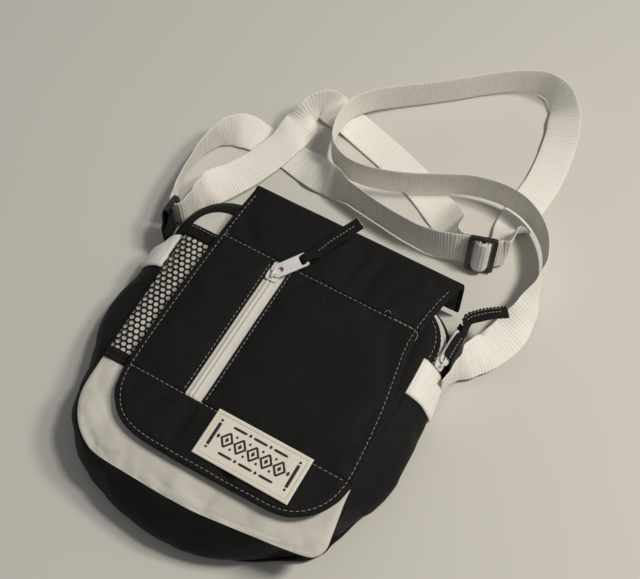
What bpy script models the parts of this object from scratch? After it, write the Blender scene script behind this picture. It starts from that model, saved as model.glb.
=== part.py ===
"""Flap shoulder bag lying on its back: hollow body, hinged front flap with a zip pocket, side ring,
webbing strap with slide adjuster.

Frame: metres, +X to the right seen from the front, +Y towards the carrying edge, +Z out of the
front. The back rests on z = 0. Dimensions below are millimetres unless a comment says otherwise.
"""

import math
from typing import NamedTuple

import bmesh
import bpy
from mathutils import Matrix, Vector

MM = 0.001  # metres per millimetre
GAP = 0.35  # clearance between neighbouring pieces

# Front panel: reach left and right of x = 0 at its top and bottom edges
LEFT_TOP = 95.0
LEFT_LOW = 87.0
RIGHT_TOP = 86.0
RIGHT_LOW = 90.0
PANEL_TOP = 88.0
PANEL_LOW = -97.0
TOP_LEFT_R = 20.0
TOP_RIGHT_R = 24.0
LOW_LEFT_R = 40.0
LOW_RIGHT_R = 12.0
FRONT_Z = 37.0
FRONT_T = 2.0
BACK_T = 3.6

# Side wall
GUSSET_T = 2.2
SPLIT_Y = 43.0  # the lower wall ends and the upper wall begins
BAND_LOW_Y = 31.0
BAND_TOP_Y = 58.0
ZIP_START_X = -LEFT_TOP + TOP_LEFT_R + 4.0
MAIN_SLIDER_Y = 64.0
MAIN_ZIP_MIDDLE = 0.2815  # place across the wall, midway between the two coils

# Pocket layers on the front panel
POCKET_Z = FRONT_Z + FRONT_T + 0.4
POCKET_INSET = 1.5

# Flap
FLAP_X0 = -70.0
FLAP_X1 = 88.0
FLAP_Y0 = -79.0
FLAP_Y1 = 108.0
FLAP_R = 24.0
EDGE_W = 5.0
EDGE_Z0 = 44.0
EDGE_Z1 = 47.8
EDGE_CHAMFER_W = 0.6
EDGE_CHAMFER_H = 0.8
LINING_Z = 42.4
LINING_T = 0.8
FLAP_PANEL_Z = 46.7
FLAP_PANEL_T = 1.5
SEAM_TOP = 67.5
SEAM_LOW = -40.5
WINDOW_X0 = -27.5
WINDOW_X1 = -15.0
HINGE = (0.0, 111.5, 43.0)
LABEL_SIZE = (66.0, 32.0, 1.3)
LABEL_X = 30.0
LABEL_Y = -54.5
SPINE_INSET = 1.0
SPINE_SECTION = [(112.9, 4.0), (114.9, 4.0), (114.9, 27.0), (114.2, 28.0), (112.9, 28.0)]  # y, z

# Flap zip
ZIP_X = -22.5
ZIP_Z = 46.0
ZIP_OVERRUN = 8.0  # length hidden beyond each seam
ZIP_TUCK = 5.0  # tape width hidden beyond each side of the window
TAPE_INNER = 2.6  # distances from the middle of the zip
COIL_OUTER = 2.3
COIL_INNER = 0.8
TAPE_Z = (45.6, 46.35)
COIL_Z = (45.3, 46.4)
FLAP_SLIDER_Y = 58.0

# Zip pullers and the fabric pulls looped through them
BAR_Z = 3.5  # height of the puller's pivot bar over the zip
PULLER_LEN = 23.0
PULLER_HALF_T = 0.55
PULL_T = 1.1
PULL_HOOK_W = 6.4
PULL_W = 9.0
PULL_LEN = 41.0
PULL_RISE = 3.0
PULL_LEAN = -0.14  # sideways drift per unit of length

# Strap, ring and adjuster
WEB_W = 25.0
WEB_T = 1.2
RING_CENTRE = (-118.0, 73.5, 16.5)  # middle of the bar that holds the tab
TAB_W = 23.0
TAB_T = 1.1
ADJUSTER_CENTRE = (82.0, 156.0, 16.6)
ADJUSTER_LEAN = math.radians(76)  # how far the adjuster stands up from the floor

RIBBON_STEPS = 3  # rings per span between ribbon stations


class Finish(NamedTuple):
    colour: tuple
    roughness: float


BLACK = (0.012, 0.012, 0.013)
WHITE = (0.72, 0.69, 0.64)

BLACK_CLOTH = Finish(colour=BLACK, roughness=0.9)
BLACK_TRIM = Finish(colour=BLACK, roughness=0.85)
BLACK_MESH = Finish(colour=BLACK, roughness=0.8)
WHITE_PANEL = Finish(colour=WHITE, roughness=0.85)
WHITE_WEAVE = Finish(colour=WHITE, roughness=0.8)
FLAP_ZIP_WHITE = Finish(colour=WHITE, roughness=0.7)
MAIN_COIL_WHITE = Finish(colour=WHITE, roughness=0.6)
LABEL_BEIGE = Finish(colour=(0.62, 0.58, 0.5), roughness=0.7)
HARDWARE_GREY = Finish(colour=(0.78, 0.77, 0.75), roughness=0.35)
HARDWARE_BLACK = Finish(colour=(0.01, 0.01, 0.01), roughness=0.35)


# ---------------------------------------------------------------- scene and materials


def clear_scene():
    for obj in list(bpy.data.objects):
        bpy.data.objects.remove(obj, do_unlink=True)
    for mesh in list(bpy.data.meshes):
        bpy.data.meshes.remove(mesh)
    for mat in list(bpy.data.materials):
        bpy.data.materials.remove(mat)


def material(name, finish):
    mat = bpy.data.materials.new(name)
    mat.use_nodes = True
    shader = mat.node_tree.nodes["Principled BSDF"]
    shader.inputs["Base Color"].default_value = (*finish.colour, 1.0)
    shader.inputs["Roughness"].default_value = finish.roughness
    mat.diffuse_color = (*finish.colour, 1.0)
    return mat


def object_from(name, bm):
    """Turns a bmesh into an object in the scene, with its normals outward."""
    bmesh.ops.recalc_face_normals(bm, faces=bm.faces)
    mesh = bpy.data.meshes.new(name)
    bm.to_mesh(mesh)
    bm.free()
    obj = bpy.data.objects.new(name, mesh)
    bpy.context.scene.collection.objects.link(obj)
    return obj


def set_origin(obj, point):
    """Moves the origin of an untransformed object to a point, leaving its shape in place."""
    point = Vector(point) * MM
    obj.data.transform(Matrix.Translation(-point))
    obj.location = point


# ---------------------------------------------------------------- curves and paths


def smoothstep(start, end, x):
    k = max(0.0, min(1.0, (x - start) / (end - start)))
    return k * k * (3 - 2 * k)


def catmull_span(q, u):
    """Catmull-Rom value between q[1] and q[2], for four numbers or four vectors."""
    return 0.5 * (
        2 * q[1]
        + (q[2] - q[0]) * u
        + (2 * q[0] - 5 * q[1] + 4 * q[2] - q[3]) * u * u
        + (3 * q[1] - q[0] - 3 * q[2] + q[3]) * u**3
    )


def catmull(points, k):
    """Point at k in 0..1 of an even Catmull-Rom curve."""
    last = len(points) - 1
    x = min(max(k, 0.0), 1.0) * last
    i = min(int(x), last - 1)
    q = [Vector(points[min(max(j, 0), last)]) for j in (i - 1, i, i + 1, i + 2)]
    if i == 0:
        q[0] = 2 * q[1] - q[2]
    if i == last - 1:
        q[3] = 2 * q[2] - q[1]
    return catmull_span(q, x - i)


def fillet(corners, step=9.0):
    """Rounds (x, y, radius) corners, about step degrees a facet; radius 0 marks an open end."""
    out = []
    for i, (x, y, radius) in enumerate(corners):
        corner = Vector((x, y))
        if radius <= 0:
            out.append(corner)
            continue
        before = Vector(corners[i - 1][:2])
        after = Vector(corners[(i + 1) % len(corners)][:2])
        u, v = (before - corner).normalized(), (after - corner).normalized()
        half = math.acos(max(-1, min(1, u.dot(v)))) / 2
        run = radius / math.tan(half)
        centre = corner + (u + v).normalized() * (radius / math.sin(half))
        start, end = corner + u * run - centre, corner + v * run - centre
        turn = math.atan2(start.x * end.y - start.y * end.x, start.dot(end))
        facets = max(2, int(abs(math.degrees(turn)) / step) + 1)
        for k in range(facets + 1):
            spoke = start.copy()
            spoke.rotate(Matrix.Rotation(turn * k / facets, 2))
            out.append(centre + spoke)
    return out


def densify(points, step, low_step):
    """Splits long spans; spans that reach down to the side bands use low_step."""
    out = []
    for a, b in zip(points, points[1:]):
        size = low_step if min(a.y, b.y) < SPLIT_Y + 2 else step
        count = max(1, int((b - a).length / size))
        out += [a.lerp(b, k / count) for k in range(count)]
    return out + [points[-1]]


def with_normals(points, side):
    """Pairs an open path with outward normals; side is +1 when outward lies on the right hand."""
    out = []
    for i, point in enumerate(points):
        before = points[max(0, i - 1)]
        after = points[min(len(points) - 1, i + 1)]
        along = (after - before).normalized()
        out.append((point, Vector((along.y, -along.x)) * side))
    return out


def rectangle(x0, x1, y0, y1):
    return [(x0, y0), (x1, y0), (x1, y1), (x0, y1)]


# ---------------------------------------------------------------- solids


def loft(name, rings, finish, smooth=False):
    """Joins rings of equal length into one closed body, with flat ends."""
    bm = bmesh.new()
    rows = [[bm.verts.new(Vector(p) * MM) for p in ring] for ring in rings]
    n = len(rows[0])
    for a, b in zip(rows, rows[1:]):
        for k in range(n):
            bm.faces.new((a[k], a[(k + 1) % n], b[(k + 1) % n], b[k]))
    bm.faces.new(rows[0])
    bm.faces.new(rows[-1])
    obj = object_from(name, bm)
    obj.data.materials.append(material(name + "_mat", finish))
    if smooth:
        obj.data.shade_smooth()
        obj.data.set_sharp_from_angle(angle=math.radians(40))
    return obj


def slab(name, outline, z0, z1, finish):
    return loft(name, [[(x, y, z) for x, y in outline] for z in (z0, z1)], finish)


def ribbon(name, stations, thickness, finish):
    """Flat band through stations (x, y, z, width direction x, y, z, width)."""
    spans = len(stations) - 1
    count = spans * RIBBON_STEPS
    places = [k / count for k in range(count + 1)]
    middle = [s[:3] for s in stations]
    centres = [catmull(middle, k) for k in places]
    rings = []
    for i, k in enumerate(places):
        tangent = (centres[min(count, i + 1)] - centres[max(0, i - 1)]).normalized()
        x = k * spans
        j = min(int(x), spans - 1)
        u = x - j
        start, end = stations[j], stations[j + 1]
        across = Vector(start[3:6]).normalized().lerp(
            Vector(end[3:6]).normalized(), smoothstep(0.0, 1.0, u)
        )
        across = (across - tangent * across.dot(tangent)).normalized()
        side = across * ((start[6] * (1 - u) + end[6] * u) / 2)
        rise = tangent.cross(across).normalized() * (thickness / 2)
        c = centres[i]
        rings.append([c + side + rise, c - side + rise, c - side - rise, c + side - rise])
    return loft(name, rings, finish, smooth=True)


def with_width(stations, width):
    return [(*s, width) for s in stations]


def box(name, low, high):
    """Box object whose coordinates are still millimetres."""
    bm = bmesh.new()
    verts = [
        bm.verts.new((x, y, z))
        for x in (low[0], high[0])
        for y in (low[1], high[1])
        for z in (low[2], high[2])
    ]
    for face in (
        (0, 1, 3, 2), (4, 6, 7, 5), (0, 4, 5, 1),
        (2, 3, 7, 6), (0, 2, 6, 4), (1, 5, 7, 3),
    ):
        bm.faces.new([verts[i] for i in face])
    return object_from(name, bm)


def apply_modifiers(obj):
    bpy.context.view_layer.update()
    depsgraph = bpy.context.evaluated_depsgraph_get()
    mesh = bpy.data.meshes.new_from_object(obj.evaluated_get(depsgraph))
    obj.modifiers.clear()
    obj.data = mesh


def combine(name, first, steps, frame, finish, bevel):
    """Bevelled body: box first (low, high) changed by steps (operation, low, high), then placed.

    Boxes are in the local millimetres of frame.
    """
    obj = box(name, *first)
    for operation, low, high in steps:
        cutter = box("cutter", low, high)
        cutter.hide_render = True
        boolean = obj.modifiers.new("boolean", "BOOLEAN")
        boolean.operation = operation
        boolean.solver = "EXACT"
        boolean.object = cutter
        apply_modifiers(obj)
        bpy.data.objects.remove(cutter, do_unlink=True)
    edge = obj.modifiers.new("bevel", "BEVEL")
    edge.width = bevel
    edge.segments = 1
    edge.limit_method = "ANGLE"
    edge.angle_limit = math.radians(50)
    apply_modifiers(obj)
    mesh = obj.data
    mesh.name = name
    mesh.transform(frame)
    mesh.transform(Matrix.Scale(MM, 4))
    mesh.materials.clear()  # no empty slot may stay ahead of the finish
    mesh.materials.append(material(name + "_mat", finish))
    return obj


def frame_from(origin, x_axis, y_axis, z_axis):
    frame = Matrix.Identity(4)
    for column, axis in enumerate((x_axis, y_axis, z_axis)):
        frame.col[column] = (*axis.normalized(), 0.0)
    frame.col[3] = (*origin, 1.0)
    return frame


# ---------------------------------------------------------------- body outline and side wall


def edge_reach(low, top, y):
    k = (y - PANEL_LOW) / (PANEL_TOP - PANEL_LOW)
    return low + (top - low) * k


def left_at(y):
    return -edge_reach(LEFT_LOW, LEFT_TOP, y)


def right_at(y):
    return edge_reach(RIGHT_LOW, RIGHT_TOP, y)


# corners (x, y, radius); the lower edge sags in the middle and its right corner flares out
TOP_LEFT = (-LEFT_TOP, PANEL_TOP, TOP_LEFT_R)
TOP_RIGHT = (RIGHT_TOP, PANEL_TOP, TOP_RIGHT_R)
LOWER = [
    (-LEFT_LOW, PANEL_LOW, LOW_LEFT_R),
    (10.0, -98.5, 150.0),
    (96.0, -87.5, LOW_RIGHT_R),
    (right_at(-45.0), -45.0, 60.0),
]

# how far the lower side wall stands out, every 10 degrees round (0, REACH_Y) counting from +X
REACH_Y = -5.0
REACH = [
    20.2, 19.9, 18.6, 16.6, 15.0, 15.0, 15.0, 15.0, 15.0, 15.0, 15.0, 15.0,
    15.0, 15.0, 17.0, 20.5, 20.6, 23.2, 24.0, 21.8, 16.2, 10.0, 7.0, 7.2,
    11.0, 16.2, 18.2, 19.2, 18.0, 15.4, 9.6, -1.0, -8.5, 5.0, 15.4, 19.4,
]
REACH_UPPER = 15.0
REACH_TOP_LEFT = 22.0
TOP_LEFT_BLEND_X = 60.0  # distance left of x = 0 at which REACH_TOP_LEFT applies in full
UPPER_BLEND_Y = (46.0, 57.0)  # the table gives way to the upper reach between these heights

# cross-section of the side wall (outward reach, z), front edge to back edge, for PROFILE_REACH
PROFILE_REACH = 18.5
PROFILE = [
    (0.0, 36.6), (7.0, 32.5), (12.5, 26.8), (16.5, 20.0), (18.5, 13.0), (17.2, 7.5), (12.5, 4.3),
]
BACK_REACH = 13.5  # edge of the back panel on the same scale


def bulge(point, normal):
    """Greatest outward reach of the side wall at a point of the panel outline."""
    left = smoothstep(0.0, TOP_LEFT_BLEND_X, -point.x)
    upper = REACH_UPPER + (REACH_TOP_LEFT - REACH_UPPER) * max(0.0, normal.y) ** 2 * left
    turn = (math.degrees(math.atan2(point.y - REACH_Y, point.x)) % 360) / 10
    i = int(turn)
    lower = catmull_span([REACH[(i + j) % len(REACH)] for j in (-1, 0, 1, 2)], turn - i)
    return upper + (lower - upper) * (1 - smoothstep(*UPPER_BLEND_Y, point.y))


def wall_point(point, normal, t, offset):
    """Point of the side wall: t runs 0..1 from front to back, offset stands out of its surface."""
    scale = bulge(point, normal) / PROFILE_REACH
    section = catmull(PROFILE, t)
    change = catmull(PROFILE, min(1, t + 0.01)) - catmull(PROFILE, max(0, t - 0.01))
    # the least scale keeps the slope defined where the wall is flat or turned inward
    tangent = Vector((change.x * max(scale, 0.02), change.y)).normalized()
    reach = section.x * scale - tangent.y * offset
    z = section.y + tangent.x * offset
    return Vector((point.x + normal.x * reach, point.y + normal.y * reach, z))


def skin(name, path, t0, t1, inner, outer, steps, finish):
    """Piece of the side wall along path, from t0 to t1 and between two surface offsets."""
    places = [t0 + (t1 - t0) * k / steps for k in range(steps + 1)]
    rings = []
    for point, normal in path:
        ring = [wall_point(point, normal, t, outer) for t in places]
        ring += [wall_point(point, normal, t, inner) for t in reversed(places)]
        rings.append(ring)
    loft(name, rings, finish, smooth=True)


# ---------------------------------------------------------------- body shell


def build_panels():
    outline = fillet([TOP_LEFT, *LOWER, TOP_RIGHT])
    slab("front_panel", outline, FRONT_Z, FRONT_Z + FRONT_T, WHITE_PANEL)
    # the back panel reaches just past the side wall's back edge
    back = []
    for i, point in enumerate(outline):
        along = (outline[(i + 1) % len(outline)] - outline[i - 1]).normalized()
        normal = Vector((along.y, -along.x))
        back.append(point + normal * (BACK_REACH * bulge(point, normal) / PROFILE_REACH))
    slab("back_panel", back, 0.0, BACK_T, BLACK_CLOTH)


def upper_path(corners):
    return with_normals(densify(fillet(corners), step=20, low_step=5), side=-1)


def build_side_wall():
    corners = [(left_at(SPLIT_Y), SPLIT_Y, 0), *LOWER, (right_at(SPLIT_Y), SPLIT_Y, 0)]
    lower = with_normals(densify(fillet(corners), step=10, low_step=10), side=1)

    y = SPLIT_Y + GAP
    left_end = (left_at(y), y, 0)
    right_end = (right_at(y), y, 0)
    upper = upper_path([left_end, TOP_LEFT, TOP_RIGHT, right_end])
    left = upper_path([left_end, TOP_LEFT, (ZIP_START_X, PANEL_TOP, 0)])
    zipway = upper_path([(ZIP_START_X + GAP, PANEL_TOP, 0), TOP_RIGHT, right_end])

    # name, path, t0, t1, inner offset, outer offset, steps, finish
    for piece in (
        ("gusset_lower", lower, 0.0, 1.0, -GUSSET_T, 0.0, 8, BLACK_CLOTH),
        ("gusset_upper_back", upper, 0.445, 1.0, -GUSSET_T, 0.0, 5, BLACK_CLOTH),
        ("gusset_upper_left", left, 0.0, 0.435, -GUSSET_T, 0.0, 4, BLACK_CLOTH),
        ("zip_welt", zipway, 0.0, 0.12, -GUSSET_T, 0.0, 2, BLACK_CLOTH),
        ("main_zip_tape_front", zipway, 0.128, 0.228, -1.4, -0.6, 2, WHITE_WEAVE),
        ("main_zip_coil_front", zipway, 0.235, 0.265, -1.9, 0.1, 1, MAIN_COIL_WHITE),
        ("main_zip_coil_back", zipway, 0.298, 0.328, -1.9, 0.1, 1, MAIN_COIL_WHITE),
        ("main_zip_tape_back", zipway, 0.335, 0.435, -1.4, -0.6, 2, WHITE_WEAVE),
    ):
        skin(*piece)


def build_webbing_bands():
    """Bands wrapped over the split of the side wall, left and right."""
    heights = [BAND_TOP_Y + (BAND_LOW_Y - BAND_TOP_Y) * k / 6 for k in range(7)]
    for name, edge_at, side in (
        ("webbing_band_left", left_at, 1),
        ("webbing_band_right", right_at, -1),
    ):
        path = with_normals([Vector((edge_at(y), y)) for y in heights], side)
        skin(name, path, 0.03, 0.9, inner=0.8, outer=1.9, steps=10, finish=WHITE_WEAVE)


def build_pocket():
    """Three strips across the front panel."""
    for name, y0, y1, thickness, finish in (
        ("pocket_mesh", -33.0, 59.0, 1.0, BLACK_MESH),
        ("pocket_hem", 59.5, 68.0, 1.8, BLACK_TRIM),
        ("pocket_binding", -41.0, -33.5, 1.6, BLACK_TRIM),
    ):
        outline = [
            (left_at(y0) + POCKET_INSET, y0),
            (right_at(y0) - POCKET_INSET, y0),
            (right_at(y1) - POCKET_INSET, y1),
            (left_at(y1) + POCKET_INSET, y1),
        ]
        slab(name, outline, POCKET_Z, POCKET_Z + thickness, finish)


# ---------------------------------------------------------------- flap


def flap_outline(inset):
    x0, x1, y0 = FLAP_X0 + inset, FLAP_X1 - inset, FLAP_Y0 + inset
    radius = FLAP_R - inset
    return fillet([(x0, FLAP_Y1, 0), (x0, y0, radius), (x1, y0, radius), (x1, FLAP_Y1, 0)])


def flap_edge(inner, outer):
    """Edge strip round three sides, standing just outside the panels."""
    rings = []
    for a, b in zip(inner, outer):
        out = (b - a).normalized()
        start = a + out * GAP
        shoulder = b - out * EDGE_CHAMFER_W
        rings.append(
            [
                (*start, EDGE_Z0),
                (*shoulder, EDGE_Z0),
                (*b, EDGE_Z0 + EDGE_CHAMFER_H),
                (*b, EDGE_Z1 - EDGE_CHAMFER_H),
                (*shoulder, EDGE_Z1),
                (*start, EDGE_Z1),
            ]
        )
    return loft("flap_edge", rings, BLACK_TRIM)


def flap_panels(inner):
    """Four outer panels that leave a window for the zip."""
    x0, x1 = FLAP_X0 + EDGE_W, FLAP_X1 - EDGE_W
    half_gap = GAP / 2
    low_y = SEAM_LOW - half_gap
    middle_y = (SEAM_LOW + half_gap, SEAM_TOP - half_gap)
    rounded = [p for p in inner if p.y < SEAM_LOW - 1]
    outlines = {
        "bottom": [(x0, low_y), *rounded, (x1, low_y)],
        "top": rectangle(x0, x1, SEAM_TOP + half_gap, FLAP_Y1),
        "left": rectangle(x0, WINDOW_X0, *middle_y),
        "right": rectangle(WINDOW_X1, x1, *middle_y),
    }
    top = FLAP_PANEL_Z + FLAP_PANEL_T
    return [
        slab("flap_panel_" + place, outline, FLAP_PANEL_Z, top, BLACK_TRIM)
        for place, outline in outlines.items()
    ]


def flap_zip_strips():
    y0, y1 = SEAM_LOW - ZIP_OVERRUN, SEAM_TOP + ZIP_OVERRUN
    return [
        slab("flap_zip_" + part, rectangle(x0, x1, y0, y1), *heights, FLAP_ZIP_WHITE)
        for part, x0, x1, heights in (
            ("tape_left", WINDOW_X0 - ZIP_TUCK, ZIP_X - TAPE_INNER, TAPE_Z),
            ("tape_right", ZIP_X + TAPE_INNER, WINDOW_X1 + ZIP_TUCK, TAPE_Z),
            ("coil_left", ZIP_X - COIL_OUTER, ZIP_X - COIL_INNER, COIL_Z),
            ("coil_right", ZIP_X + COIL_INNER, ZIP_X + COIL_OUTER, COIL_Z),
        )
    ]


def label_patch():
    length, width, thickness = LABEL_SIZE
    return combine(
        "label_patch",
        ((-length / 2, -width / 2, 0), (length / 2, width / 2, thickness)),
        [],
        Matrix.Translation((LABEL_X, LABEL_Y, FLAP_PANEL_Z + FLAP_PANEL_T + GAP)),
        LABEL_BEIGE,
        bevel=0.4,
    )


def build_flap():
    inner = flap_outline(EDGE_W)
    pieces = [
        slab("flap_lining", inner, LINING_Z, LINING_Z + LINING_T, BLACK_CLOTH),
        flap_edge(inner, flap_outline(0.0)),
        *flap_panels(inner),
        *flap_zip_strips(),
        label_patch(),
    ]
    for piece in pieces:
        set_origin(piece, HINGE)


def build_flap_spine():
    """Fixed strip along the top edge of the body, below the hinge."""
    ends = (FLAP_X0 + SPINE_INSET, FLAP_X1 - SPINE_INSET)
    loft("flap_spine", [[(x, y, z) for y, z in SPINE_SECTION] for x in ends], BLACK_TRIM)


# ---------------------------------------------------------------- zip hardware

# zip frame: x across the zip, y along it, z outward
SLIDER_TOP_PLATE = ((-4.3, -5.5, 1.45), (4.3, 5.5, 2.45))
SLIDER_STEPS = [
    ("UNION", (-0.5, 2.0, -2.0), (0.5, 4.6, 1.6)),  # post between the plates
    ("UNION", (-4.0, -5.5, -2.5), (4.0, 5.5, -1.65)),  # bottom plate
    ("UNION", (-0.9, -4.2, 2.3), (0.9, -2.8, 5.4)),  # bridge: two legs and a bar
    ("UNION", (-0.9, 2.8, 2.3), (0.9, 4.2, 5.4)),
    ("UNION", (-0.9, -4.2, 4.5), (0.9, 4.2, 5.4)),
]

# flat puller along +Y from its pivot bar
PULLER_PLATE = (
    (-4.9, -PULLER_HALF_T, -PULLER_HALF_T),
    (4.9, PULLER_LEN, PULLER_HALF_T),
)
PULLER_STEPS = [
    ("DIFFERENCE", (-4.1, PULLER_HALF_T, -2.0), (4.1, 6.8, 2.0)),  # eye at the bar
    ("DIFFERENCE", (-3.7, PULLER_LEN - 5.0, -2.0), (3.7, PULLER_LEN - 1.8, 2.0)),  # far slot
]
PULLER_END_Y = PULLER_LEN - 0.9  # middle of the bar beyond the slot

# free end of the main zip's pull: x, y, z, width direction x, y, z, width
MAIN_PULL_TAIL = [
    (98.5, 98.0, 33.0, 0.75, -0.35, -0.3, 8.0),
    (103.5, 104.0, 33.5, 0.65, -0.7, -0.1, PULL_W),
    (110.0, 109.5, 34.0, 0.62, -0.78, 0, PULL_W),
    (118.0, 115.5, 33.0, 0.6, -0.8, 0, PULL_W),
]


def pull_hook(under_end_y, under_mid_y, over_z):
    """Turn of a fabric pull round the puller's end bar, in the frame of that bar."""
    path = [
        (under_end_y, -2.2), (under_mid_y, -2.2), (-0.6, -2.0), (-2.4, 0.0), (-0.6, 2.0),
        (4.0, over_z),
    ]
    return with_width([(0, y, z, 1, 0, 0) for y, z in path], PULL_HOOK_W)


def build_zip_set(prefix, frame, turn, lift, local_pull, world_pull=()):
    """Slider, puller and fabric pull; the pull starts in the puller's end frame."""
    slider = combine(
        prefix + "_slider", SLIDER_TOP_PLATE, SLIDER_STEPS, frame, HARDWARE_GREY, bevel=0.2
    )
    set_origin(slider, frame.translation)
    pivot = (
        frame
        @ Matrix.Translation((0, 0, BAR_Z))
        @ Matrix.Rotation(-turn, 4, "Z")
        @ Matrix.Rotation(lift, 4, "X")
    )
    puller = combine(
        prefix + "_puller", PULLER_PLATE, PULLER_STEPS, pivot, HARDWARE_GREY, bevel=0.2
    )
    set_origin(puller, pivot.translation)
    end = pivot @ Matrix.Translation((0, PULLER_END_Y, 0))
    turned = end.to_3x3()
    stations = [
        (*(end @ Vector(s[:3])), *(turned @ Vector(s[3:6])), s[6]) for s in local_pull
    ]
    pull = ribbon(prefix + "_pull", [*stations, *world_pull], PULL_T, BLACK_CLOTH)
    set_origin(pull, end.translation)


def build_flap_zip_set():
    # y along the pull, share of the rise reached there
    tail = [
        (PULL_LEAN * (4 if y == 10.0 else y), y, 2.0 + PULL_RISE * share, 1, -PULL_LEAN, 0)
        for y, share in ((10.0, 0.1), (PULL_LEN * 0.5, 0.5), (PULL_LEN, 1.0))
    ]
    build_zip_set(
        "flap_zip",
        Matrix.Translation((ZIP_X, FLAP_SLIDER_Y, ZIP_Z)),
        turn=math.radians(38),
        lift=math.radians(8),
        local_pull=pull_hook(9.0, 4.0, 2.1) + with_width(tail, PULL_W),
    )


def build_main_zip_set():
    point = Vector((right_at(MAIN_SLIDER_Y), MAIN_SLIDER_Y))
    edge = Vector((RIGHT_TOP - RIGHT_LOW, PANEL_TOP - PANEL_LOW)).normalized()
    normal = Vector((edge.y, -edge.x))
    centre, surface, above = (
        wall_point(point, normal, MAIN_ZIP_MIDDLE, offset) for offset in (-0.9, 0.0, 1.0)
    )
    outward = (above - surface).normalized()
    along = Vector((edge.x, edge.y, 0.0))
    build_zip_set(
        "main_zip",
        frame_from(centre, along.cross(outward), along, outward),
        turn=0.0,
        lift=math.radians(4),
        local_pull=pull_hook(7.0, 3.5, 2.2),
        world_pull=MAIN_PULL_TAIL,
    )


# ---------------------------------------------------------------- strap

# strap stations: x, y, z, width direction x, y, z
# from the right band, round the far loop and back to the adjuster
STRAP_TO_ADJUSTER = [
    (104.5, 61.0, 16.5, 0, 0, 1), (106.5, 71.0, 16.0, -0.15, 0.1, 1),
    (111.0, 84.0, 12.5, -0.6, 0.35, 0.7), (117.5, 98.0, 8.0, -0.85, 0.45, 0.3),
    (123.5, 114.0, 7.5, -0.9, 0.3, 0.35), (127.0, 135.0, 11.8, -0.6, 0.1, 0.8),
    (126.5, 155.0, 14.0, -0.2, 0, 1), (123.5, 171.0, 15.5, 0, 0, 1),
    (116.5, 186.0, 16.5, 0, 0, 1), (105.0, 198.0, 16.5, 0, 0, 1),
    (89.0, 206.0, 16.5, 0, 0, 1), (71.0, 207.5, 16.5, 0, 0, 1),
    (50.0, 203.0, 16.5, 0, 0, 1), (30.0, 193.0, 16.5, 0, 0, 1),
    (8.0, 181.5, 17.0, 0, 0, 1), (-15.0, 173.5, 17.5, 0, 0, 1),
    (-34.0, 173.0, 17.5, 0, 0, 1), (-49.0, 182.0, 17.5, 0, 0, 1),
    (-56.0, 200.0, 18.0, 0, 0, 1), (-54.5, 220.0, 18.0, 0, 0, 1),
    (-45.0, 235.0, 17.0, 0, 0, 1), (-31.0, 249.0, 15.0, 0, 0, 1),
    (-13.0, 264.0, 14.0, 0, 0, 1), (5.0, 279.0, 14.0, 0, 0, 1),
    (22.0, 294.0, 14.0, 0, 0, 1), (41.0, 308.0, 14.0, 0, 0, 1),
    (60.0, 315.0, 14.0, 0.1, 0.1, 1), (76.0, 308.0, 12.5, 0.5, 0.3, 0.8),
    (86.0, 291.0, 8.0, 0.9, 0.3, 0.4), (91.0, 268.0, 4.0, 1, 0.1, 0.15),
    (93.0, 243.0, 2.0, 1, 0, 0), (91.5, 222.0, 1.4, 1, 0.02, 0),
    (90.5, 208.0, 1.4, 1, 0.0, 0), (90.0, 197.0, 2.0, 1, 0.0, 0.02),
    (91.0, 187.0, 8.0, 0.85, 0.0, 0.5), (94.0, 177.0, 13.8, 0.3, 0.1, 1),
    (97.0, 168.5, 15.5, 0, 0.1, 1),
]
# from the adjuster to the ring on the left, through it and back to the adjuster
STRAP_VIA_RING = [
    (49.0, 149.5, 14.4, -0.05, 0.2, 1), (31.0, 149.0, 14.0, 0, 0.1, 1),
    (5.0, 152.0, 13.8, 0, 0.05, 1), (-20.0, 156.5, 13.6, 0, 0.1, 1),
    (-40.0, 160.5, 12.0, 0, 0.6, 0.8), (-56.0, 165.5, 6.2, 0, 1, 0.25),
    (-72.0, 170.0, 1.9, 0, 1, 0), (-88.0, 173.0, 1.2, 0, 1, 0),
    (-103.0, 173.5, 1.6, -0.1, 1, 0.05), (-114.5, 170.5, 7.5, -0.3, 0.8, 0.5),
    (-123.5, 162.0, 13.0, -0.2, 0.3, 1), (-130.0, 150.0, 14.2, 0, 0, 1),
    (-133.0, 137.0, 14.4, 0.15, 0, 1), (-133.0, 121.0, 14.6, 0.25, 0, 1),
    (-130.0, 104.0, 15.5, 0.2, 0, 1), (-124.5, 92.0, 16.5, 0, 0, 1),
    (-122.8, 85.0, 16.5, 0, 0, 1), (-121.2, 81.6, 16.5, 0, 0, 1),
    (-118.0, 80.2, 16.5, 0, 0, 1), (-114.8, 81.6, 16.5, 0, 0, 1),
    (-113.2, 85.0, 16.5, 0, 0, 1), (-112.8, 93.0, 16.0, 0, 0, 1),
    (-111.5, 104.0, 14.2, -0.3, 0, 1), (-107.5, 117.0, 10.5, -0.8, 0.2, 0.55),
    (-100.0, 133.0, 7.5, -1, 0.2, 0.2), (-92.0, 152.0, 7.0, -1, 0.25, 0.05),
    (-86.0, 173.0, 7.0, -1, 0.25, 0), (-83.0, 192.0, 9.0, -0.9, 0.3, 0.45),
    (-81.5, 206.0, 14.0, -0.3, 0.1, 1), (-76.0, 217.5, 13.5, 0.2, 0.5, 0.9),
    (-65.0, 220.5, 5.5, 0.1, 1, 0.3), (-52.0, 218.5, 2.3, 0.1, 1, 0),
    (-30.0, 212.0, 1.4, 0.3, 1, 0), (-5.0, 203.5, 1.4, 0.35, 1, 0),
    (18.0, 194.0, 1.4, 0.4, 1, 0), (36.0, 184.0, 2.2, 0.45, 1, 0.05),
    (50.0, 173.5, 8.0, 0.4, 0.8, 0.5),
]
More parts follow.
